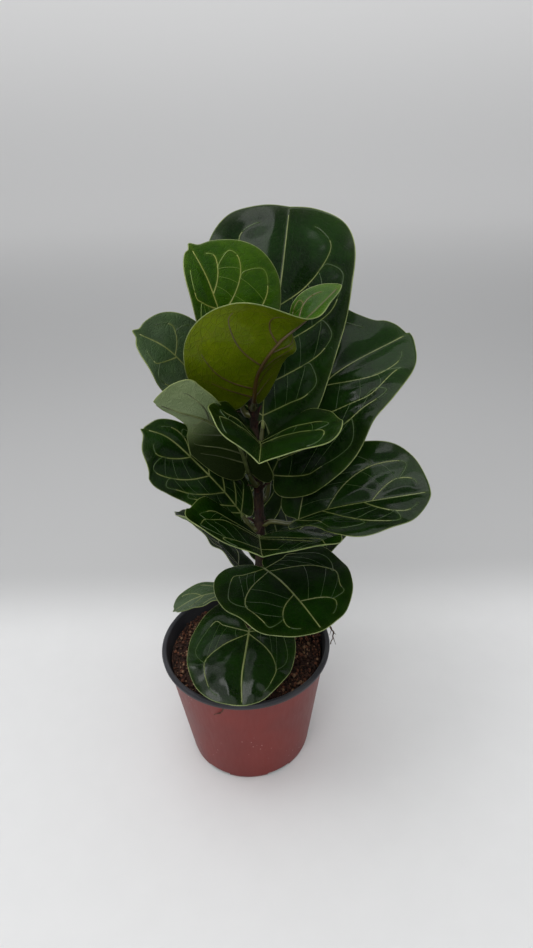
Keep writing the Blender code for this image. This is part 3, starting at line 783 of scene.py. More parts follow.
LEAVES: Tuple[LeafShape, ...] = (
    LeafShape("leaf_front_lowest", 118, ((4, -12, 132), (1, -32, 128), (-2, -54, 123), (-2, -74, 115)),
              (38, 46), ((0, -0.2, 1), (0, -0.4, 1)), (2, 2, -12), (2, 2, -12), "lobed",
              left_veins=((0.03, 150, 0.05), (0.06, 54, 0.30)),
              right_veins=((0.03, 150, 0.05), (0.06, 50, 0.30)), phase=0.4),
    LeafShape("leaf_left_lowest", 136, ((-8, 14, 146), (-24, 18, 146), (-42, 16, 142), (-58, 8, 137)),
              (15, 15), ((-0.1, 0, 1), (-0.4, 0, 1)), (8, 8, 0), (8, 8, 0), "young",
              upper=SHEEN_GREY_UPPER, left_veins=((0.16, 92, 0.1), (0.48, 50, 0.12)),
              right_veins=((0.16, 92, 0.1), (0.52, 50, 0.12)), quilt=0.7, ruffle=0.6),
    LeafShape("leaf_left_under", 160, ((2, 10, 172), (-14, 28, 183), (-34, 42, 195), (-54, 50, 206)),
              (40, 34), ((0.5, 0.4, 0.8), (0.4, 0.4, 0.8)), (10, 10, 0), (10, 10, 0), "fiddle",
              upper=LOW_UPPER, left_veins=((0.12, 100, 0.1), (0.40, 56, 0.12)),
              right_veins=((0.12, 100, 0.1), (0.44, 56, 0.12)), phase=1.1),
    LeafShape("leaf_rear_low", 172, ((20, 10, 182), (38, 26, 192), (56, 44, 196), (72, 62, 192)),
              (40, 40), ((0, -0.1, 1), (0.2, 0.2, 1)), (8, 8, 0), (8, 8, 0), "oblong", phase=2.0),
    LeafShape("leaf_right_round", 184,
              ((17, -14, 196), (30, -36, 200), (43, -60, 200), (56, -84, 196)),
              (48, 49), ((0, -0.1, 1), (0, -0.2, 1)), (2, 2, 0), (6, 6, 0), "cordate",
              upper=LOW_UPPER,
              left_veins=((0.03, 152, 0.0), (0.10, 62, 0.36), (0.64, 34, 0.16)),
              right_veins=((0.03, 150, 0.0), (0.10, 60, 0.34), (0.54, 30, 0.14)), phase=0.8),
    LeafShape("leaf_rear_middle", 200,
              ((8, 14, 214), (-2, 42, 230), (-14, 68, 240), (-22, 96, 242)),
              (50, 50), ((0, -0.3, 1), (0, 0.1, 1)), (10, 10, 0), (10, 10, 0), "fiddle", phase=1.7),
    LeafShape("leaf_front_wide", 212,
              ((15, -25, 234), (16, -48, 243), (17, -72, 253), (18, -97, 269)),
              (53, 56), ((0, 0, 1), (0, 0, 1)), (0, 6, 5), (40, 24, 6), "round",
              upper=LOW_UPPER, left_veins=((0.08, 112, 0.08), (0.14, 64, 0.26), (0.50, 34, 0.14)),
              right_veins=((0.08, 112, 0.08), (0.14, 64, 0.26), (0.50, 34, 0.14)), phase=2.6),
    LeafShape("leaf_left_middle", 224,
              ((4, -7, 239), (-9, -9, 262), (-27, -14, 290), (-43, -18, 311), (-58, -20.6, 319.6)),
              (33, 19), ((0.4, -0.9, 0.7), (0.3, -0.9, 0.6)), (10, 10, 0), (14, 14, 0),
              "fiddle", "belly", phase=0.2),
    LeafShape("leaf_right_middle", 228,
              ((40, -8, 233), (63, -14, 246), (90, -19, 255), (136, -22, 264)),
              (43, 30), ((-0.1, -0.3, 1), (-0.1, -0.3, 1)), (36, 36, 0), (20, -4, 0), "oblong", "hipped",
              left_veins=((0.05, 132, 0.0), (0.28, 44, 0.22), (0.60, 20, 0.12)),
              right_veins=((0.03, 140, 0.0), (0.24, 62, 0.14), (0.54, 32, 0.12)),
              phase=1.4),
    LeafShape("leaf_rear_upper", 240,
              ((20, 19, 258), (30, 42, 279), (38, 64, 296), (44, 92, 306)),
              (50, 50), ((0, -0.5, 1), (0, -0.1, 1)), (14, 14, 0), (14, 14, 0), "fiddle",
              phase=0.9),
    LeafShape("leaf_right_upper", 248,
              ((24, 3, 264), (42, 10, 298), (70, 24, 333), (128, 48, 355)),
              (42, 52), ((-0.35, -0.7, 0.7), (-0.35, -0.7, 0.7)), (12, 12, 18), (8, 8, 6),
              "notched", "belly",
              left_veins=((0.10, 120, 0.0), (0.30, 92, 0.08), (0.54, 62, 0.1)),
              right_veins=((0.02, 135, 0.1), (0.10, 72, 0.2), (0.30, 36, 0.34), (0.50, 26, 0.16)),
              phase=2.2),
    LeafShape("leaf_left_pale", 264,
              ((10, -16, 281), (3, -27, 311), (-14, -38, 332), (-30, -45, 342), (-43, -49, 350)),
              (26, 33), ((0, 0.9, 0.4), (0, 0.95, 0.3)), (0, 24, 0), (4, 4, 0), "eared", "heart",
              under=PALE_UNDER, rib=SHADED_RIB, fine_rib=SHADED_RIB, slot="leaf_pale",
              left_veins=((0.10, 120, 0.0), (0.30, 62, 0.1), (0.62, 34, 0.12)),
              right_veins=((0.10, 120, 0.0), (0.20, 92, 0.1), (0.42, 62, 0.1), (0.66, 30, 0.1)),
              quilt=0.8, ruffle=0.5),
    LeafShape("leaf_front_folded", 294,
              ((18, -24, 309), (19, -44, 316), (18.5, -68, 323), (18, -92, 331)),
              (53, 42), ((0.05, 0, 1), (0.05, 0, 1)), (32, 18, 0), (50, 38, 0), "round",
              left_veins=((0.10, 104, 0.08), (0.22, 62, 0.16)),
              right_veins=((0.12, 104, 0.08), (0.22, 68, 0.16)),
              phase=1.9),
    LeafShape("leaf_left_upper", 304,
              ((0, -5, 322), (-18, -12, 346), (-36, -20, 373), (-54, -28, 388)),
              (24, 25), ((0.3, -0.9, 0.7), (0.3, -0.9, 0.7)), (10, 10, 0), (20, 20, 0), "young",
              left_veins=((0.16, 110, 0.05), (0.40, 76, 0.1), (0.64, 42, 0.1)),
              right_veins=((0.16, 110, 0.05), (0.42, 76, 0.1), (0.66, 42, 0.1)),
              upper=SHEEN_GREY_UPPER, quilt=0.9, ruffle=0.7, phase=0.5),
    LeafShape("leaf_top_back", 288, ((20, 9, 302), (24, 22, 336), (35, 46, 386), (44, 68, 440)),
              (54, 56), ((-0.15, -1, 0.3), (-0.15, -1, 0.4)), (14, 12, 4), (22, 20, 10), "tall",
              left_veins=((0.06, 138, 0.0), (0.20, 108, 0.06), (0.36, 78, 0.1), (0.54, 40, 0.15)),
              right_veins=((0.06, 138, 0.0), (0.20, 108, 0.06), (0.37, 78, 0.1), (0.56, 42, 0.15)),
              upper=TALL_UPPER, phase=1.2),
    LeafShape("leaf_top_left", 318, ((9, -1, 342), (0, -3, 374), (-10, -2, 410), (-20, 4, 430)),
              (23, 44), ((0.5, -0.85, 0.3), (0.5, -0.85, 0.5)), (25, 25, 0), (8, 8, 12), "young",
              left_veins=((0.30, 100, 0.05), (0.56, 60, 0.1)),
              right_veins=((0.26, 82, 0.1), (0.50, 42, 0.12), (0.66, 18, 0.06)),
              upper=YOUNG_UPPER, rib=YOUNG_RIB, fine_rib=YOUNG_FINE_RIB, slot="leaf_young",
              quilt=0.9, ruffle=0.6),
    LeafShape("leaf_top_front", 324,
              ((15, -13, 333), (19, -25, 358), (32, -33, 380), (49, -29, 393), (71, -13, 408)),
              (27, 47), ((-0.1, 1, 0.5), (0, 1, 0.45), (0.15, 1, 0.4), (0.1, 0.4, 0.9), (0, 0.1, 1)),
              (42, 16, 0), (-3, 4, 0), "waisted", "cornered",
              upper=YOUNG_UPPER, under=YOUNG_UNDER, rib=BROWN_RIB, fine_rib=BROWN_FINE_RIB,
              slot="leaf_young",
              right_veins=((0.04, 140, 0.0), (0.12, 118, 0.06), (0.32, 92, 0.12), (0.50, 60, 0.12)),
              quilt=0.8, ruffle=0.3),
)


@dataclass
class Stem:
    """The thin stem: its path through the leaf joints and how it tapers."""

    path: Tuple[Triple, ...] = (
        (3.2, 0, 75), (3.8, 0, 98), (8.5, 0, 132), (12.5, 0, 165),
        (15.2, 0, 205), (15.6, 0, 245), (15.0, 0, 285), (14.0, 1, 330),
    )
    soil_height: float = 98.0
    foot_radius: float = 4.2
    tip_radius: float = 2.6
    point_count: int = 120
    joint_swelling: float = 0.55

    def centre(self, height: float) -> np.ndarray:
        """Return the point of the centre line at a height."""
        rows = np.array(self.path, float)
        return np.array([np.interp(height, rows[:, 2], rows[:, k]) for k in range(3)])

    def radius(self, height: float) -> float:
        """Return the radius at a height."""
        share = (height - self.soil_height) / (self.path[-1][2] - self.soil_height)
        return self.foot_radius + (self.tip_radius - self.foot_radius) * min(max(share, 0), 1)


@dataclass
class Leaf:
    """Builds one leaf: the quilted blade, the veins, the margin and the petiole.

    Lengths and radii are in millimetres. The radii of side veins and of their loops are given at
    the start and at the end. A midrib's are what the base adds and the radius at the tip.
    """

    shape: LeafShape
    stem: Stem
    cells: Tuple[int, int] = (96, 72)
    thickness: float = 0.55
    swell_reach: float = 7.5
    cross_reach: float = 1.8
    cross_depth: float = 0.12
    near_reach: float = 1.1
    vein_reach: float = 0.8
    loop_reach: float = 0.06
    vein_top: float = 0.5
    fine_rise: float = 0.1
    side_points: int = 24
    loop_points: int = 20
    last_vein_points: int = 30
    met_points: int = 26
    side_radii: Tuple[float, float] = (0.68, 0.42)
    loop_radii: Tuple[float, float] = (0.36, 0.26)
    cross_radius: float = 0.22
    midrib_end: float = 0.93
    midrib_radii: Tuple[float, float] = (1.15, 0.42)
    midrib_rise: float = 0.56
    edge_points: int = 240
    edge_radius: float = 0.34
    petiole_radii: Tuple[float, float] = (2.2, 1.55)
    petiole_drop: float = 1.4
    petiole_swelling: Tuple[float, ...] = (0.7, 0.6, 0.35, 0.1)
    uv_size: float = 200.0

    def __post_init__(self) -> None:
        """Measure the midrib and lay out the veins of the leaf shape."""
        shape = self.shape
        line = smooth_line(shape.midrib, np.linspace(0, 1, 241))
        steps = np.linalg.norm(np.diff(line, axis=0), axis=1)
        self.line = line
        self.distances = np.concatenate([[0.0], np.cumsum(steps)])
        self.length = float(self.distances[-1])
        self.headings = unit(np.gradient(line, self.distances, axis=0))
        self.left = Outline(shape.outline)
        self.right = Outline(shape.right_outline or shape.outline)
        self.side_veins: List[Tuple[np.ndarray, np.ndarray]] = []
        self.cross_veins: List[Tuple[np.ndarray, np.ndarray]] = []
        self.lay_out_veins()

    # The blade's flat plan is a disc: x from base to apex, y from left to right, both -1 to 1.

    def reach(self, angles: np.ndarray) -> np.ndarray:
        """Return how far the blade's plan reaches at angles from the apex, left ones negative."""
        size = np.abs(angles)
        return np.where(angles < 0, self.left.reach(size), self.right.reach(size))

    def flat(self, plan: np.ndarray) -> np.ndarray:
        """Return the distances along and across the midrib of points of the plan."""
        widths = np.where(plan[:, 1] < 0, self.shape.half_widths[0], self.shape.half_widths[1])
        return np.column_stack([(0.5 + 0.5 * plan[:, 0]) * self.length, plan[:, 1] * widths])

    def axes(self, along: np.ndarray) -> Tuple[np.ndarray, np.ndarray, np.ndarray, np.ndarray]:
        """Return how the blade lies at distances along the midrib.

        Args:
            along: Distances from the blade's base, in millimetres.

        Returns:
            The midrib's points, headings, upper sides and eased shares of the length.
        """
        inside = np.clip(along, 0, self.length)
        point = np.column_stack([np.interp(inside, self.distances, self.line[:, k])
                                 for k in range(3)])
        heading = unit(np.column_stack([np.interp(inside, self.distances, self.headings[:, k])
                                        for k in range(3)]))
        point = point + heading * (along - inside)[:, None]
        share = np.clip(along / self.length, 0, 1)
        share = share * share * (3 - 2 * share)
        upward = smooth_line(self.shape.faces, share)
        upward = upward - heading * np.sum(upward * heading, axis=1, keepdims=True)
        return point, heading, unit(upward), share

    def bend(self, flat: np.ndarray) -> Tuple[np.ndarray, np.ndarray]:
        """Bend and fold flat points of the blade.

        Args:
            flat: Distances along and across the midrib, in millimetres.

        Returns:
            The points in space and the directions in which the upper side faces there.
        """
        point, heading, upward, share = self.axes(flat[:, 0])
        sideways_axis = np.cross(heading, upward)
        on_right = flat[:, 1] >= 0
        folds = np.where(on_right[:, None], self.shape.right_fold, self.shape.left_fold)
        widths = np.where(on_right, self.shape.half_widths[1], self.shape.half_widths[0])
        start = np.radians(folds[:, 0] + (folds[:, 1] - folds[:, 0]) * share)
        curl = np.radians(folds[:, 2]) / widths
        curl = np.where(np.abs(curl) < 1e-6, 1e-6, curl)
        width = np.abs(flat[:, 1])
        sideways = (np.sin(start + curl * width) - np.sin(start)) / curl
        rise = (np.cos(start) - np.cos(start + curl * width)) / curl
        sign = np.where(on_right, 1.0, -1.0)
        tilt = start + curl * width
        normal = (upward * np.cos(tilt)[:, None]
                  - sideways_axis * (np.sin(tilt) * sign)[:, None])
        place = point + sideways_axis * (sideways * sign)[:, None] + upward * rise[:, None]
        return place, normal

    def ruffle(self, plan: np.ndarray) -> np.ndarray:
        """Return how far the wavy margin lifts the blade.

        Args:
            plan: Points of the plan.

        Returns:
            The lift at each point, in millimetres.
        """
        angles = np.arctan2(plan[:, 1], plan[:, 0])
        rim = np.hypot(plan[:, 0], plan[:, 1]) / self.reach(angles)
        wave = np.sin(angles * 5 + self.shape.phase) + 0.6 * np.sin(angles * 9 + self.shape.phase * 3)
        return self.shape.ruffle * wave * np.clip(rim, 0, 1) ** 3 * np.abs(np.sin(angles))

    def lay_out_veins(self) -> None:
        """Lay out the side veins, which loop into each other near the margin, and cross veins."""
        points = self.side_points + self.loop_points
        radii = np.concatenate([np.linspace(*self.side_radii, self.side_points),
                                np.linspace(*self.loop_radii, self.loop_points)])
        chance = random.Random(self.shape.name)
        for side, given in ((-1.0, self.shape.left_veins), (1.0, self.shape.right_veins)):
            lines: List[np.ndarray] = []
            angles = [math.radians(angle) for _, angle, _ in given] + [0.0]
            following = np.array([[0.86, 0.0]])
            for number in reversed(range(len(given))):
                start_share, _, bow = given[number]
                angle, following_angle = angles[number], angles[number + 1]
                start = np.array([2 * start_share - 1, 0.0])
                end = self.on_ray(angle, side, self.vein_reach)
                knots = [start]
                for share in (0.3, 0.65):
                    bulge = side * bow * math.sin(math.pi * share) * chance.uniform(0.9, 1.1)
                    knots.append(start + (end - start) * share + np.array([0.0, bulge]))
                near = angle + (following_angle - angle) * 0.4
                far = angle + (following_angle - angle) * 0.75
                meet = following[int(len(following) * 0.5)]
                knots += [end, self.on_ray(near, side, self.vein_reach + self.loop_reach),
                          (self.on_ray(far, side, self.vein_reach) + meet) / 2, meet]
                spaced = np.linspace(0, 1, points)
                line = smooth_line([(x, y, 0.0) for x, y in knots], spaced)[:, :2]
                if number == len(given) - 1:
                    line = line[:self.last_vein_points]
                self.side_veins.append((line, radii[:len(line)]))
                following = line[:self.met_points]
                lines.insert(0, line)
            self.lay_out_cross_veins(lines, side, chance)

    def on_ray(self, angle: float, side: float, share: float) -> np.ndarray:
        """Return a point of the plan.

        Args:
            angle: The angle from the apex, in radians.
            side: -1 for the left half and 1 for the right.
            share: The share of the plan's reach at that angle.

        Returns:
            The point.
        """
        reach = float(self.reach(np.array([angle * side]))[0]) * share
        return np.array([math.cos(angle), side * math.sin(angle)]) * reach

    def lay_out_cross_veins(self, lines: Sequence[np.ndarray], side: float,
                            chance: random.Random) -> None:
        """Join neighbouring side veins with a ladder of fine cross veins.

        Args:
            lines: The side veins of one half, from base to apex.
            side: -1 for the left half and 1 for the right.
            chance: The chance that varies the rungs.
        """
        t = np.linspace(0, 1, 12)[:, None]
        for lower, upper in zip(lines, lines[1:]):
            for step in (7, 12, 17):
                first = lower[step]
                last = upper[max(step - 3 + chance.choice((-1, 0, 1)), 2)]
                bow = (first + last) / 2 + np.array([0.03, side * chance.uniform(0.02, 0.07)])
                cross = (1 - t) ** 2 * first + 2 * t * (1 - t) * bow + t ** 2 * last
                self.cross_veins.append((cross, np.full(len(cross), self.cross_radius)))

    def main_veins(self) -> List[np.ndarray]:
        """Return the midrib and the side veins in the plan."""
        spine = np.column_stack([np.linspace(-1, 1, 120), np.zeros(120)])
        return [spine] + [line for line, _ in self.side_veins]

    def relief(self, away: np.ndarray, rim: np.ndarray) -> np.ndarray:
        """Return how far the blade swells up between its veins.

        Args:
            away: Distances from the nearest main vein, in millimetres.
            rim: Shares of the way from the middle to the margin.

        Returns:
            The swelling, in millimetres.
        """
        swell = self.shape.quilt * (1 - np.exp(-(away / self.swell_reach) ** 2))
        return swell * np.clip((1 - rim) * 5, 0, 1)

    def gaps(self, lines: Sequence[np.ndarray], flat: np.ndarray) -> np.ndarray:
        """Return how far flat points lie from the nearest of some veins, in millimetres."""
        tree = self.vein_tree(lines)
        return np.array([tree.find((row[0], row[1], 0.0))[2] for row in flat])

    def vein_tree(self, lines: Sequence[np.ndarray]) -> kdtree.KDTree:
        """Return the flat places of some veins, ready to measure distances to them.

        Args:
            lines: The veins in the plan.

        Returns:
            The places in a tree.
        """
        flat = self.flat(np.vstack(lines))
        tree = kdtree.KDTree(len(flat))
        for number, row in enumerate(flat):
            tree.insert((row[0], row[1], 0.0), number)
        tree.balance()
        return tree

    def blade(self) -> bpy.types.Mesh:
        """Bend a grid into the quilted blade and give it its thickness.

        Returns:
            The closed mesh: the upper side, the under side and the edge are its slots 0 to 2.
        """
        grid = bmesh.new()
        bmesh.ops.create_grid(grid, x_segments=self.cells[0], y_segments=self.cells[1], size=1)
        square = np.array([vertex.co[:2] for vertex in grid.verts])
        x, y = square[:, 0], square[:, 1]
        disc = np.column_stack([x * np.sqrt(1 - y * y / 2), y * np.sqrt(1 - x * x / 2)])
        angles = np.arctan2(disc[:, 1], disc[:, 0])
        rim = np.hypot(disc[:, 0], disc[:, 1])
        plan = disc * self.reach(angles)[:, None]
        flat = self.flat(plan)
        away = self.gaps(self.main_veins(), flat)
        beside = self.gaps([line for line, _ in self.cross_veins], flat)
        quilt = self.relief(away, rim)
        ridge = np.exp(-(beside / self.cross_reach) ** 2) * (1 - np.exp(-(away / 3.0) ** 2))
        quilt -= self.cross_depth * ridge
        place, normal = self.bend(flat)
        lift = quilt + self.ruffle(plan)
        points = (place + normal * lift[:, None]) * MM
        near_vein = grid.verts.layers.float.new("near_vein")
        near_edge = grid.verts.layers.float.new("near_edge")
        for vertex, point, gap, share in zip(grid.verts, points, away, rim):
            vertex.co = point
            vertex[near_vein] = math.exp(-(gap / self.near_reach) ** 2)
            vertex[near_edge] = max(share, 0) ** 6
        sheet = grid.loops.layers.uv.new("flat_leaf")
        grid.verts.ensure_lookup_table()
        for face in grid.faces:
            for loop in face.loops:
                row = flat[loop.vert.index]
                loop[sheet].uv = (row[0] / self.uv_size + 0.2, 0.5 + row[1] / self.uv_size)
        bmesh.ops.reverse_faces(grid, faces=grid.faces)
        mesh = bpy.data.meshes.new(self.shape.name)
        grid.to_mesh(mesh)
        grid.free()
        return shell_mesh(self.shape.name, mesh, self.thickness)

    def on_blade(self, plan: np.ndarray, sink: Union[float, np.ndarray]) -> np.ndarray:
        """Return points of the blade in space.

        Args:
            plan: Points of the plan.
            sink: How far below the upper side they lie, in millimetres.

        Returns:
            The points, in millimetres.
        """
        place, normal = self.bend(self.flat(plan))
        lift = self.ruffle(plan) - sink
        return place + normal * np.broadcast_to(lift, (len(plan),))[:, None]

    def petiole(self) -> Strand:
        """Return the petiole, from inside the stem to the blade's base.

        Returns:
            The strand, swollen where it leaves the stem.
        """
        zero = np.zeros(1)
        point, heading, upward, _ = self.axes(zero)
        base = point[0] - upward[0] * self.petiole_drop
        centre = self.stem.centre(self.shape.node_height)
        outward = base - centre
        outward[2] = 0
        outward = outward / np.linalg.norm(outward)
        start = centre + outward * (self.stem.radius(self.shape.node_height) + 2.1)
        pull = np.linalg.norm(base - start) * 0.35
        lean = unit(outward + np.array([0, 0, 1.0]))
        t = np.linspace(0, 1, 26)[:, None]
        route = ((1 - t) ** 3 * start + 3 * t * (1 - t) ** 2 * (start + lean * pull)
                 + 3 * t * t * (1 - t) * (base - heading[0] * pull) + t ** 3 * base)
        root = centre + outward * 0.5 - np.array([0, 0, 1.5])
        route = np.vstack([root, (root + start) / 2, route])
        radii = np.linspace(*self.petiole_radii, len(route))
        radii[:len(self.petiole_swelling)] += self.petiole_swelling
        return Strand(route, radii, 4)

    def build(self, skins: Dict[str, bpy.types.Material]) -> bpy.types.Object:
        """Make the leaf and put it in its place.

        Args:
            skins: The materials by name.

        Returns:
            The finished piece.
        """
        shape = self.shape
        strands = [self.petiole()]
        shares = np.linspace(-1.0, self.midrib_end, 60)
        radii = self.midrib_radii[0] * (1 - (shares + 1) / 2) ** 0.8 + self.midrib_radii[1]
        spine = np.column_stack([shares, shares * 0])
        strands.append(Strand(self.on_blade(spine, radii - self.midrib_rise), radii, 3))
        last = self.side_points - 1
        for line, widths in self.side_veins:
            placed = self.on_blade(line, widths - self.vein_top)
            strands.append(Strand(placed[:last + 1], widths[:last + 1], 3))
            placed = self.on_blade(line, widths - self.vein_top - self.fine_rise)
            strands.append(Strand(placed[last:], widths[last:], 5))
        for line, widths in self.cross_veins:
            angles = np.arctan2(line[:, 1], line[:, 0])
            rim_share = np.hypot(line[:, 0], line[:, 1]) / self.reach(angles)
            swell = self.relief(self.gaps(self.main_veins(), self.flat(line)), rim_share)
            strands.append(Strand(self.on_blade(line, -self.fine_rise - swell), widths, 5))
        around = np.linspace(-math.pi, math.pi, self.edge_points, endpoint=False)
        rim = self.reach(around)[:, None] * np.column_stack([np.cos(around), np.sin(around)])
        edge_radii = np.full(len(rim), self.edge_radius)
        strands.append(Strand(self.on_blade(rim, 0.0), edge_radii, 2, True))
        mesh = join_meshes(shape.name, [self.blade(), strand_mesh(shape.name, strands)])
        names = (shape.upper, shape.under, EDGE_SKIN, shape.rib, PETIOLE_SKIN, shape.fine_rib)
        materials = [skins[skin.name] for skin in names]
        return add_piece(shape.name + "_fine", mesh, materials, [shape.name])


# ---------------------------------------------------------------- pot and soil


@dataclass
class Pot:
    """The round nursery pot: a tapered wall, a thick rolled rim and notches in the foot."""

    height: float = 109.0
    rim_radius: float = 70.0
    rim_width: float = 4.0
    rim_depth: float = 4.5
    wall_top_radius: float = 66.2
    wall_foot_radius: float = 52.0
    foot_radius: float = 49.5
    foot_rounding: float = 5.0
    wall: float = 1.6
    floor: float = 2.0
    steps: int = 160
    notch_count: int = 6
    notch_size: Triple = (8.0, 21.0, 7.0)
    notch_start: float = -62.0
    floor_corner: Tuple[float, float] = (2.0, 3.0)
    shoulder_drop: float = 2.0
    lip: float = 0.8
    rim_edge: Tuple[float, float] = (1.2, 1.4)
    rim_undercut: Tuple[float, float] = (0.3, 0.4)
    foot_bulge: float = 0.7
    bevel: float = 0.45

    def wall_radius(self, height: float) -> float:
        """Return the radius of the outer wall at a height."""
        share = (height - self.foot_rounding) / (self.height - self.rim_depth - self.foot_rounding)
        return self.wall_foot_radius + (self.wall_top_radius - self.wall_foot_radius) * share

    def profile(self) -> Tuple[Tuple[float, float], ...]:
        """Return the section of the pot.

        Returns:
            Radius and height at each corner, from the inner floor to the outer foot.
        """
        rim_foot = self.height - self.rim_depth
        inner = self.wall_top_radius - self.wall
        inner_foot = self.wall_foot_radius - self.wall
        return (
            (0.0, self.floor), (inner_foot - self.floor_corner[0], self.floor),
            (inner_foot, self.floor + self.floor_corner[1]),
            (inner, rim_foot - self.shoulder_drop),
            (self.rim_radius - self.rim_width, self.height - self.lip),
            (self.rim_radius - self.rim_width + self.lip, self.height),
            (self.rim_radius - self.rim_edge[0], self.height),
            (self.rim_radius, self.height - self.rim_edge[1]),
            (self.rim_radius - self.rim_undercut[0], rim_foot + self.rim_undercut[1]),
            (self.rim_radius - self.rim_edge[0], rim_foot),
            (self.wall_top_radius, rim_foot - self.rim_undercut[1]),
            (self.wall_foot_radius, self.foot_rounding),
            (self.wall_foot_radius - self.foot_bulge, self.foot_rounding / 3),
            (self.foot_radius, 0.0), (0.0, 0.0),
        )

    def spun(self) -> bmesh.types.BMesh:
        """Spin the section round the upright axis and round its ring edges.

        Returns:
            The closed body.
        """
        turned = bmesh.new()
        line = [turned.verts.new((radius * MM, 0, height * MM))
                for radius, height in self.profile()]
        edges = [turned.edges.new(pair) for pair in zip(line, line[1:])]
        bmesh.ops.spin(turned, geom=line + edges, cent=(0, 0, 0), axis=(0, 0, 1),
                       angle=math.tau, steps=self.steps, use_merge=True)
        bmesh.ops.remove_doubles(turned, verts=turned.verts, dist=0.002 * MM)
        bmesh.ops.recalc_face_normals(turned, faces=turned.faces)
        rings = [edge for edge in turned.edges
                 if len(edge.link_faces) == 2 and edge.calc_face_angle(0.0) > math.radians(14)
                 and abs(edge.verts[0].co.z - edge.verts[1].co.z) < 1e-6]
        bmesh.ops.bevel(turned, geom=rings, offset=self.bevel * MM, segments=3, profile=0.5,
                        affect="EDGES", material=-1, clamp_overlap=True)
        return turned

    def notch_blocks(self) -> bpy.types.Object:
        """Make the blocks that are cut out of the foot.

        Returns:
            One object with all the blocks.
        """
        blocks = bmesh.new()
        for number in range(self.notch_count):
            turn = math.radians(self.notch_start + 360 / self.notch_count * number)
            spin = Matrix.Rotation(turn, 4, "Z")
            shift = Matrix.Translation((self.foot_radius * MM, 0, 0))
            size = Matrix.Diagonal((*(side * MM for side in self.notch_size), 1))
            bmesh.ops.create_cube(blocks, size=1, matrix=spin @ shift @ size)
        mesh = bpy.data.meshes.new("notch_blocks")
        blocks.to_mesh(mesh)
        blocks.free()
        return new_object("notch_blocks", mesh)

    def build(self) -> bpy.types.Object:
        """Make the pot: red plastic outside, dark grey on the rim and inside.

        Returns:
            The finished piece.
        """
        turned = self.spun()
        mesh = bpy.data.meshes.new("pot")
        turned.to_mesh(mesh)
        turned.free()
        carrier = new_object("pot_blank", mesh)
        blocks = self.notch_blocks()
        cut = carrier.modifiers.new("notches", "BOOLEAN")
        cut.object = blocks
        cut.operation = "DIFFERENCE"
        cut.solver = "EXACT"
        cut_mesh = applied_mesh(carrier)
        bpy.data.objects.remove(blocks)
        coloured = bmesh.new()
        coloured.from_mesh(cut_mesh)
        rim_foot = self.height - self.rim_depth
        for face in coloured.faces:
            middle = face.calc_center_median() / MM
            outside = math.hypot(middle.x, middle.y) > self.wall_radius(middle.z) - self.wall * 0.6
            below = middle.z < rim_foot - 0.05
            face.material_index = 0 if below and (outside or middle.z < self.floor * 0.9) else 1
            face.smooth = True
        for edge in coloured.edges:
            edge.smooth = edge.calc_face_angle(0.0) < math.radians(38)
        coloured.to_mesh(cut_mesh)
        coloured.free()
        skins = [TERRACOTTA.material(), DARK_RIM.material()]
        return add_piece("pot_fine", cut_mesh, skins, ["pot"])


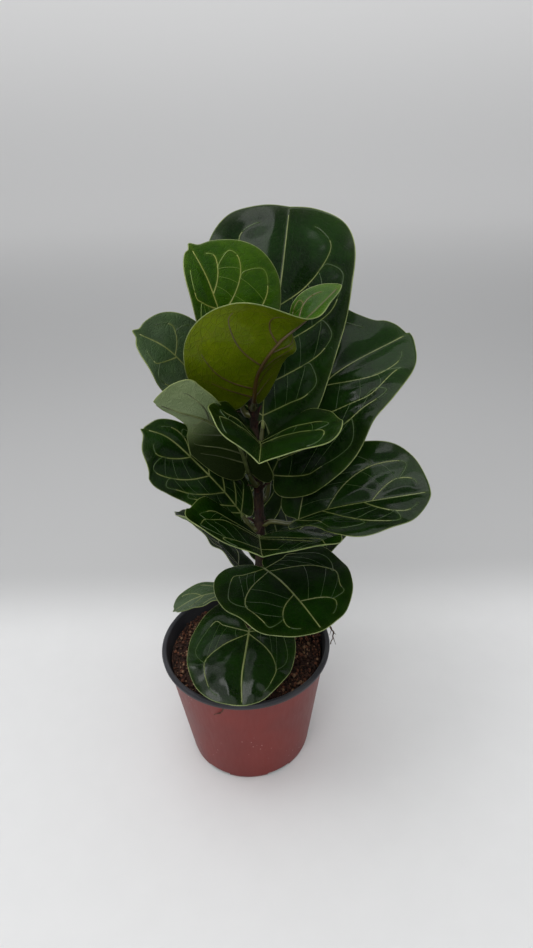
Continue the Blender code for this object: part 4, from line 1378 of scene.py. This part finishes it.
@dataclass
class Soil:
    """The dark soil's loose top: crumbs in three tones and short coir fibres."""

    top: float = 98.0
    crown: float = 1.5
    reach: float = 62.6
    crumb_count: int = 3600
    crumb_size: Tuple[float, float] = (0.55, 1.7)
    heap_place: Tuple[float, float] = (57.5, 15.0)
    heap_radius: float = 8.0
    heap_height: float = 11.0
    heap_count: int = 260
    handful: int = 120
    fibre_count: int = 90
    fibre_steps: int = 8
    wave_pitch: Tuple[float, float] = (0.21, 0.17)
    wave_height: float = 0.9

    def surface(self, x: float, y: float) -> float:
        """Return how high the soil lies.

        Args:
            x: The place to the right, in millimetres.
            y: The place to the back, in millimetres.

        Returns:
            The height in millimetres.
        """
        share = math.hypot(x, y) / self.reach
        heap = math.hypot(x - self.heap_place[0], y - self.heap_place[1]) / self.heap_radius
        waves = math.sin(x * self.wave_pitch[0] + 1.0) * math.cos(y * self.wave_pitch[1])
        waves *= self.wave_height
        return self.top + self.crown * (1 - share) + waves + self.heap_height * math.exp(-heap ** 2)

    def crumb(self, bed: bmesh.types.BMesh, place: Triple, size: float,
              chance: random.Random) -> None:
        """Add one angular crumb to the bed.

        Args:
            bed: The bed that it joins.
            place: Its middle, in millimetres.
            size: Its radius, in millimetres.
            chance: The chance that shapes it.
        """
        turn = Euler([chance.uniform(0, math.tau) for _ in range(3)]).to_matrix().to_4x4()
        stretch = Matrix.Diagonal((chance.uniform(0.7, 1.5), chance.uniform(0.7, 1.2),
                                   chance.uniform(0.6, 1.1), 1))
        stand = Matrix.Translation(Vector(place) * MM) @ turn @ stretch
        made = bmesh.ops.create_icosphere(bed, subdivisions=1, radius=size * MM,
                                          matrix=stand)["verts"]
        for vertex in made:
            vertex.co += Vector([chance.uniform(-0.22, 0.22) * size * MM for _ in range(3)])
        tone = chance.choice((0, 0, 0, 0, 1, 1, 2)) if chance.random() < 0.9 else 0
        for face in {face for vertex in made for face in vertex.link_faces}:
            face.material_index = tone

    def build(self, stem: Stem) -> None:
        """Make the crumbs and the fibres.

        Args:
            stem: The stem, which the crumbs keep clear of.
        """
        chance = random.Random(11)
        spots: List[Tuple[Triple, float]] = []
        foot = stem.centre(self.top)
        while len(spots) < self.crumb_count:
            angle, far = chance.uniform(0, math.tau), self.reach * math.sqrt(chance.random())
            x, y = far * math.cos(angle), far * math.sin(angle)
            if math.hypot(x - foot[0], y - foot[1]) < stem.foot_radius + 0.6:
                continue
            size = chance.uniform(0, 1) ** 2.2 * (self.crumb_size[1] - self.crumb_size[0])
            size += self.crumb_size[0]
            if far > self.reach - size:
                continue
            lift = chance.uniform(-0.3, 1.3) * size * 0.5
            spots.append(((x, y, self.surface(x, y) + 0.6 + lift), size))
        for _ in range(self.heap_count):
            angle, far = chance.uniform(0, math.tau), self.heap_radius * 1.2 * chance.random()
            x = self.heap_place[0] + far * math.cos(angle)
            y = self.heap_place[1] + far * math.sin(angle)
            if math.hypot(x, y) > self.reach + 0.6:
                continue
            depth = chance.random() ** 2 * (self.surface(x, y) - self.top)
            size = chance.uniform(*self.crumb_size)
            spots.append(((x, y, self.surface(x, y) - depth), size))
        handfuls: List[bpy.types.Mesh] = []
        for first in range(0, len(spots), self.handful):
            bed = bmesh.new()
            for place, size in spots[first:first + self.handful]:
                self.crumb(bed, place, size, chance)
            handful = bpy.data.meshes.new("handful")
            bed.to_mesh(handful)
            bed.free()
            handfuls.append(handful)
        mesh = join_meshes("soil_crumbs", handfuls)
        skins = [CRUMB_DARK.material(), CRUMB_RED.material(), CRUMB_PALE.material()]
        add_piece("soil_crumbs", mesh, skins)
        self.fibres(chance)

    def fibres(self, chance: random.Random) -> None:
        """Lay short curved coir fibres on the soil.

        Args:
            chance: The chance that places them.
        """
        strands: List[Strand] = []
        for _ in range(self.fibre_count):
            angle, far = chance.uniform(0, math.tau), self.reach * 0.93 * math.sqrt(chance.random())
            x, y = far * math.cos(angle), far * math.sin(angle)
            heading = chance.uniform(0, math.tau)
            bow = chance.uniform(-1.2, 1.2)
            length = chance.uniform(4, 13)
            points: List[Triple] = []
            for step in range(self.fibre_steps + 1):
                turn = heading + bow * step / self.fibre_steps
                if math.hypot(x, y) > self.reach - 0.8:
                    break
                hump = math.sin(math.pi * step / self.fibre_steps) * 1.4
                points.append((x, y, self.surface(x, y) + 1.0 + hump))
                x += math.cos(turn) * length / self.fibre_steps
                y += math.sin(turn) * length / self.fibre_steps
            if len(points) > 3:
                size = chance.uniform(0.12, 0.28)
                strands.append(Strand(np.array(points), np.linspace(size, size * 0.5, len(points))))
        mesh = join_meshes("soil_fibres", [strand_mesh("soil_fibres", strands)])
        add_piece("soil_fibres", mesh, [FIBRE.material()])


# ---------------------------------------------------------------- stem, scales and roots


@dataclass
class StemDresser:
    """Builds the stem with its swollen joints, the dry scales and the end bud.

    A tuft is given by its height in millimetres and its compass angle in degrees.
    """

    stem: Stem
    scale_cells: Tuple[int, int] = (12, 6)
    scale_thickness: float = 0.3
    scales_in_tuft: int = 4
    tufts: Tuple[Tuple[float, float], ...] = ((236, 150), (256, 215), (274, 330), (309, 255))
    lower_tuft: Tuple[float, float] = (222, 280)
    bud_length: float = 13.0
    bud_radius: float = 2.4

    def __post_init__(self) -> None:
        """Start the chance that varies the scales."""
        self.chance = random.Random(23)

    def trunk(self) -> bpy.types.Object:
        """Make the tapering stem, with a swelling and a fine ring at every joint.

        Returns:
            The finished piece.
        """
        shares = np.linspace(0, 1, self.stem.point_count)
        route = smooth_line(self.stem.path, shares)
        radii = np.array([self.stem.radius(row[2]) for row in route])
        for shape in LEAVES:
            gap = route[:, 2] - shape.node_height
            radii += self.stem.joint_swelling * np.exp(-(gap / 4.5) ** 2)
            radii += 0.22 * np.exp(-((gap - 5.5) / 0.9) ** 2)
        radii += 0.06 * np.sin(route[:, 2] * 0.9) + 0.05 * np.sin(route[:, 2] * 2.3)
        mesh = join_meshes("stem", [strand_mesh("stem", [Strand(route, radii)], 5)])
        return add_piece("stem_fine", mesh, [STEM_BARK.material()], ["stem"])

    def scale(self, base: np.ndarray, compass: float, length: float, width: float,
              spread: float, curl: float) -> bpy.types.Mesh:
        """Make one dry papery scale.

        Args:
            base: Where it is attached, in millimetres.
            compass: The direction in which it leaves the stem, in degrees from +X.
            length: Its length in millimetres.
            width: Its greatest width in millimetres.
            spread: How far it leans out from the upright, in degrees.
            curl: How much further its tip bends, in degrees.

        Returns:
            The closed mesh.
        """
        sheet = bmesh.new()
        bmesh.ops.create_grid(sheet, x_segments=self.scale_cells[0],
                              y_segments=self.scale_cells[1], size=1)
        angle = math.radians(compass)
        outward = Vector((math.cos(angle), math.sin(angle), 0))
        across = Vector((-outward.y, outward.x, 0))
        wrinkle = self.chance.uniform(0, math.tau)
        for vertex in sheet.verts:
            along, side = (vertex.co.x + 1) / 2, vertex.co.y
            half = width / 2 * (0.45 + 1.3 * along) * (1 - along) ** 0.7 + 0.15
            lean = math.radians(spread + curl * along)
            run = Vector((0, 0, 1)) * math.cos(lean) + outward * math.sin(lean)
            cup = outward * (-(side ** 2) * half * 0.7)
            crease = outward * math.sin(side * 5 + wrinkle + along * 4) * 0.25 * along
            vertex.co = (Vector(base) + run * along * length + across * side * half
                         + cup + crease) * MM
        mesh = bpy.data.meshes.new("dry_scale")
        sheet.to_mesh(mesh)
        sheet.free()
        return shell_mesh("dry_scale", mesh, self.scale_thickness)

    def add_papery(self, name: str, meshes: Sequence[bpy.types.Mesh],
                   nodes: Sequence[str]) -> bpy.types.Object:
        """Join papery meshes into one piece.

        Args:
            name: The piece's name.
            meshes: Its meshes.
            nodes: The solids that it stands for.

        Returns:
            The finished piece.
        """
        mesh = join_meshes(name, meshes)
        skin = bpy.data.materials.get(DRY_SCALE.name) or DRY_SCALE.material()
        return add_piece(name, mesh, [skin, skin, skin], nodes)

    def tuft(self, name: str, height: float, compass: float,
             nodes: Sequence[str] = ()) -> bpy.types.Object:
        """Put a few dry scales round the stem.

        Args:
            name: The piece's name.
            height: The height on the stem, in millimetres.
            compass: The direction of the first scale, in degrees from +X.
            nodes: The plain solids that the scales stand for.

        Returns:
            The finished piece.
        """
        meshes: List[bpy.types.Mesh] = []
        for number in range(self.scales_in_tuft):
            level = height + self.chance.uniform(-4, 6)
            turn = compass + number * 137 + self.chance.uniform(-15, 15)
            angle = math.radians(turn)
            outward = np.array([math.cos(angle), math.sin(angle), 0])
            base = self.stem.centre(level) + outward * (self.stem.radius(level) + 0.2)
            meshes.append(self.scale(base, turn, self.chance.uniform(8, 13),
                                     self.chance.uniform(3.4, 5.0), self.chance.uniform(4, 22),
                                     self.chance.uniform(-10, 45)))
        return self.add_papery(name, meshes, nodes)

    def bud(self) -> bpy.types.Object:
        """Make the pointed end bud, wrapped in two dry scales.

        Returns:
            The finished piece.
        """
        top = np.array(self.stem.path[-1], float)
        shares = np.linspace(0, 1, 16)
        lean = np.array([-0.05, 0.05, 1.0])
        route = top + lean * (shares * self.bud_length)[:, None]
        radii = self.bud_radius * np.sin(np.pi * np.clip(0.35 + shares * 0.64, 0, 1)) ** 0.8 + 0.1
        meshes = [strand_mesh("end_bud", [Strand(route, radii)], 4)]
        for turn in (40, 220):
            angle = math.radians(turn)
            base = top + np.array([math.cos(angle), math.sin(angle), 0]) * self.bud_radius
            meshes.append(self.scale(base, turn, 12.0, 4.4, 2, -8))
        return self.add_papery("end_bud_fine", meshes, ["end_bud"])

    def build(self) -> None:
        """Make the stem, the tufts of scales and the bud."""
        self.trunk()
        for number, (height, compass) in enumerate(self.tufts, start=1):
            self.tuft(f"bud_scale_{number}_fine", height, compass, [f"bud_scale_{number}"])
        self.tuft("bud_scales_lower", *self.lower_tuft)
        self.bud()


@dataclass
class LooseRoots:
    """The root that hangs over the rim, and the thin fibre on the pot's wall."""

    rim_path: Tuple[Triple, ...] = (
        (57, 15.5, 103), (62, 14, 110), (67, 12, 113), (71.8, 9, 112), (74, 7.7, 107),
        (73.6, 7.5, 102), (71.8, 5, 97),
    )
    fibre_track: Tuple[Tuple[float, float], ...] = (
        (-105, 101), (-106, 97), (-109, 93.5), (-113, 89.5))
    main_radii: Tuple[float, float] = (1.1, 0.4)
    main_points: int = 60
    thread_starts: Tuple[int, ...] = (6, 14, 20, 27, 33, 40, 46, 52)
    thread_points: int = 8
    fibre_points: int = 24

    def build(self, pot: Pot) -> None:
        """Make both roots with their side threads.

        Args:
            pot: The pot, whose wall the fibre lies on.
        """
        skin = ROOT_SKIN.material()
        self.rim_root(skin)
        self.wall_fibre(skin, pot)

    def rim_root(self, skin: bpy.types.Material) -> None:
        """Make the root over the rim.

        Args:
            skin: Its material.
        """
        chance = random.Random(5)
        shares = np.linspace(0, 1, self.main_points)
        main = smooth_line(self.rim_path, shares)
        wobble = np.column_stack([np.sin(shares * 31), np.cos(shares * 27), np.sin(shares * 23)])
        main = main + wobble * 0.35
        knobs = 1 + 0.15 * np.sin(shares * 40)
        strands = [Strand(main, np.linspace(*self.main_radii, self.main_points) * knobs)]
        for start in self.thread_starts:
            heading = np.array([chance.uniform(-0.4, 1), chance.uniform(-1, 1),
                                chance.uniform(-1, 0.8)])
            run = np.linspace(0, 1, self.thread_points)[:, None]
            sag = np.array([0, 0, -1.6]) * run ** 2
            strands.append(Strand(main[start] + heading * run * chance.uniform(2.5, 5) + sag,
                                  np.linspace(0.38, 0.15, self.thread_points)))
        mesh = join_meshes("rim_root", [strand_mesh("rim_root", strands, 2)])
        add_piece("rim_root_fine", mesh, [skin], ["rim_root"])

    def wall_fibre(self, skin: bpy.types.Material, pot: Pot) -> None:
        """Make the thin fibre on the pot's wall.

        Args:
            skin: Its material.
            pot: The pot, whose wall it lies on.
        """
        track: List[Triple] = []
        for compass, height in self.fibre_track:
            angle = math.radians(compass)
            distance = pot.wall_radius(height) + 0.7
            track.append((distance * math.cos(angle), distance * math.sin(angle), height))
        line = smooth_line(track, np.linspace(0, 1, self.fibre_points))
        threads = [Strand(line, np.linspace(0.42, 0.22, self.fibre_points))]
        side = np.linspace(0, 1, self.thread_points)[:, None]
        threads.append(Strand(line[17] + side * np.array([9.5, 0, -0.5]) + side ** 2
                              * np.array([0.0, -1.0, 2.6]),
                              np.linspace(0.26, 0.14, self.thread_points)))
        threads.append(Strand(line[6] + side * np.array([-2.5, 0.3, -3.5]),
                              np.linspace(0.24, 0.12, self.thread_points)))
        mesh = join_meshes("wall_fibre", [strand_mesh("wall_fibre", threads, 1)])
        add_piece("wall_fibre_fine", mesh, [skin], ["wall_fibre"])


# ---------------------------------------------------------------- studio


@dataclass(frozen=True)
class SoftLight:
    """A rectangular soft light: where it hangs, what it faces, its size in metres and its watts."""

    name: str
    place: Triple
    aim: Triple
    size: Tuple[float, float]
    power: float

    def hang(self) -> None:
        """Hang the light in the studio."""
        light = bpy.data.lights.new(self.name, "AREA")
        light.shape = "RECTANGLE"
        light.size, light.size_y = self.size
        light.energy = self.power
        light.color = linear((255, 255, 255))[:3]
        item = new_object(self.name, light)
        item.location = self.place
        direction = Vector(self.aim) - Vector(self.place)
        item.rotation_euler = direction.to_track_quat("-Z", "Y").to_euler()


@dataclass
class Studio:
    """The plain pale floor, the backdrop, the lights and the camera.

    Lengths are in metres. The paper is painted greyer behind the plant, over painted_shade_step,
    as painted shade for the dimmer light there, and glows a little farther back and higher up as
    painted light, over painted_glow_depths and painted_glow_heights, each with its own strength.
    """

    floor_reach: float = 4.4
    cove_start: float = 2.2
    cove_radius: float = 0.6
    cove_turn: float = 87.0
    wall_height: float = 2.4
    lens: float = 26.58
    look_down: float = 30.4
    roll: float = -1.94
    stand: Triple = (0.022, -0.435, 0.525)
    paper_width: float = 6.0
    paper_rows: int = 300
    painted_shade_step: Tuple[float, float] = (0.12, 0.25)
    painted_glow_depths: Triple = (0.75, 2.7, 0.23)
    painted_glow_heights: Triple = (0.1, 1.1, 0.2)
    room_light: float = 0.4
    lights: Tuple[SoftLight, ...] = (
        SoftLight("top_softbox", (-0.1, -0.15, 1.6), (0, 0, 0.1), (1.7, 1.5), 13.5),
        SoftLight("key_light", (-0.35, -0.15, 1.5), (0, 0, 0.3), (0.4, 0.32), 2.5),
        SoftLight("window_light", (-0.3, -1.6, 1.6), (0, 0, 0.35), (1.8, 0.7), 14.0),
    )

    def sheet(self) -> bpy.types.Object:
        """Make the paper that lies on the floor and curves up behind the plant.

        Returns:
            The backdrop.
        """
        paper = bmesh.new()
        bmesh.ops.create_grid(paper, x_segments=2, y_segments=self.paper_rows, size=0.5)
        full_turn = math.radians(self.cove_turn)
        length = self.floor_reach + full_turn * self.cove_radius + self.wall_height
        for vertex in paper.verts:
            run = (vertex.co.y + 0.5) * length
            flat = min(run, self.floor_reach)
            turn = min(max(run - self.floor_reach, 0) / self.cove_radius, full_turn)
            rise = max(run - self.floor_reach - full_turn * self.cove_radius, 0)
            depth = flat + self.cove_radius * math.sin(turn) + rise * math.cos(full_turn)
            height = self.cove_radius * (1 - math.cos(turn)) + rise * math.sin(full_turn)
            place = self.cove_start - self.floor_reach + depth
            vertex.co = (vertex.co.x * self.paper_width, place, height)
        for face in paper.faces:
            face.smooth = True
        mesh = bpy.data.meshes.new("backdrop")
        paper.to_mesh(mesh)
        paper.free()
        mesh.materials.append(self.paper_material())
        backdrop = new_object("backdrop", mesh)
        return backdrop

    def paper_material(self) -> bpy.types.Material:
        """Return the paper's material: faintly mottled, with painted shade greying it behind the plant
        and painted light glowing farther back and higher up.

        Returns:
            The material.
        """
        shader = Shader("backdrop_paper")
        grain = shader.noise(shader.place(), 40, 3)
        depth = shader.value("ShaderNodeSeparateXYZ", {}, {"Vector": shader.place()}, "Y")
        height = shader.value("ShaderNodeSeparateXYZ", {}, {"Vector": shader.place()}, "Z")
        floor_tone = shader.blend(grain, linear((222, 222, 222)), linear((226, 226, 226)))
        # Painted shade: the paper turns grey behind the plant, where less light falls on it.
        colour = shader.blend(depth.between(*self.painted_shade_step), floor_tone, linear((190, 190, 190)))
        # Painted light: the paper glows farther back and higher up, though no lamp is there.
        painted_glow_share = (depth.between(*self.painted_glow_depths[:2]) * self.painted_glow_depths[2]
                + height.between(*self.painted_glow_heights[:2]) * self.painted_glow_heights[2])
        painted_glow_colour = shader.blend(painted_glow_share, (0.0, 0.0, 0.0, 1.0), (1.0, 1.0, 1.0, 1.0))
        return shader.finish({"Base Color": colour, "Roughness": 0.9, "Specular IOR Level": 0.2,
                              "Emission Color": painted_glow_colour, "Emission Strength": 1.0})

    def camera(self) -> None:
        """Set the camera at its stand."""
        data = bpy.data.cameras.new("camera")
        data.lens = self.lens
        data.sensor_width = 36
        item = new_object("camera", data)
        tilt = Matrix.Rotation(math.radians(90 - self.look_down), 3, "X")
        turn = Matrix.Rotation(math.radians(self.roll), 3, "Z")
        item.matrix_world = Matrix.Translation(self.stand) @ (tilt @ turn).to_4x4()
        bpy.context.scene.camera = item

    def build(self) -> None:
        """Set up the whole studio."""
        self.sheet()
        for light in self.lights:
            light.hang()
        world = bpy.data.worlds.new("soft_room")
        world.use_nodes = True
        sky = world.node_tree.nodes["Background"]
        sky.inputs["Color"].default_value = linear((240, 242, 245))
        sky.inputs["Strength"].default_value = self.room_light
        bpy.context.scene.world = world
        bpy.context.scene.view_settings.view_transform = "Standard"
        self.camera()


def main() -> None:
    """Build every piece and report it."""
    logging.basicConfig(level=logging.INFO, format="%(message)s")
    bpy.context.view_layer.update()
    skins: Dict[str, bpy.types.Material] = {}
    for shape in LEAVES:
        for skin in (shape.upper, shape.under, shape.rib, shape.fine_rib, EDGE_SKIN, PETIOLE_SKIN):
            if skin.name not in skins:
                skins[skin.name] = skin.material()
    stem = Stem()
    for shape in LEAVES:
        Leaf(shape, stem).build(skins)
    pot = Pot()
    pot.build()
    Soil().build(stem)
    StemDresser(stem).build()
    LooseRoots().build(pot)
    bed = bpy.data.objects["soil"]
    bed.data.materials.clear()
    bed.data.materials.append(SOIL_BED.material())
    Studio().build()
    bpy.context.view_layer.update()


if __name__ == "__main__":
    main()
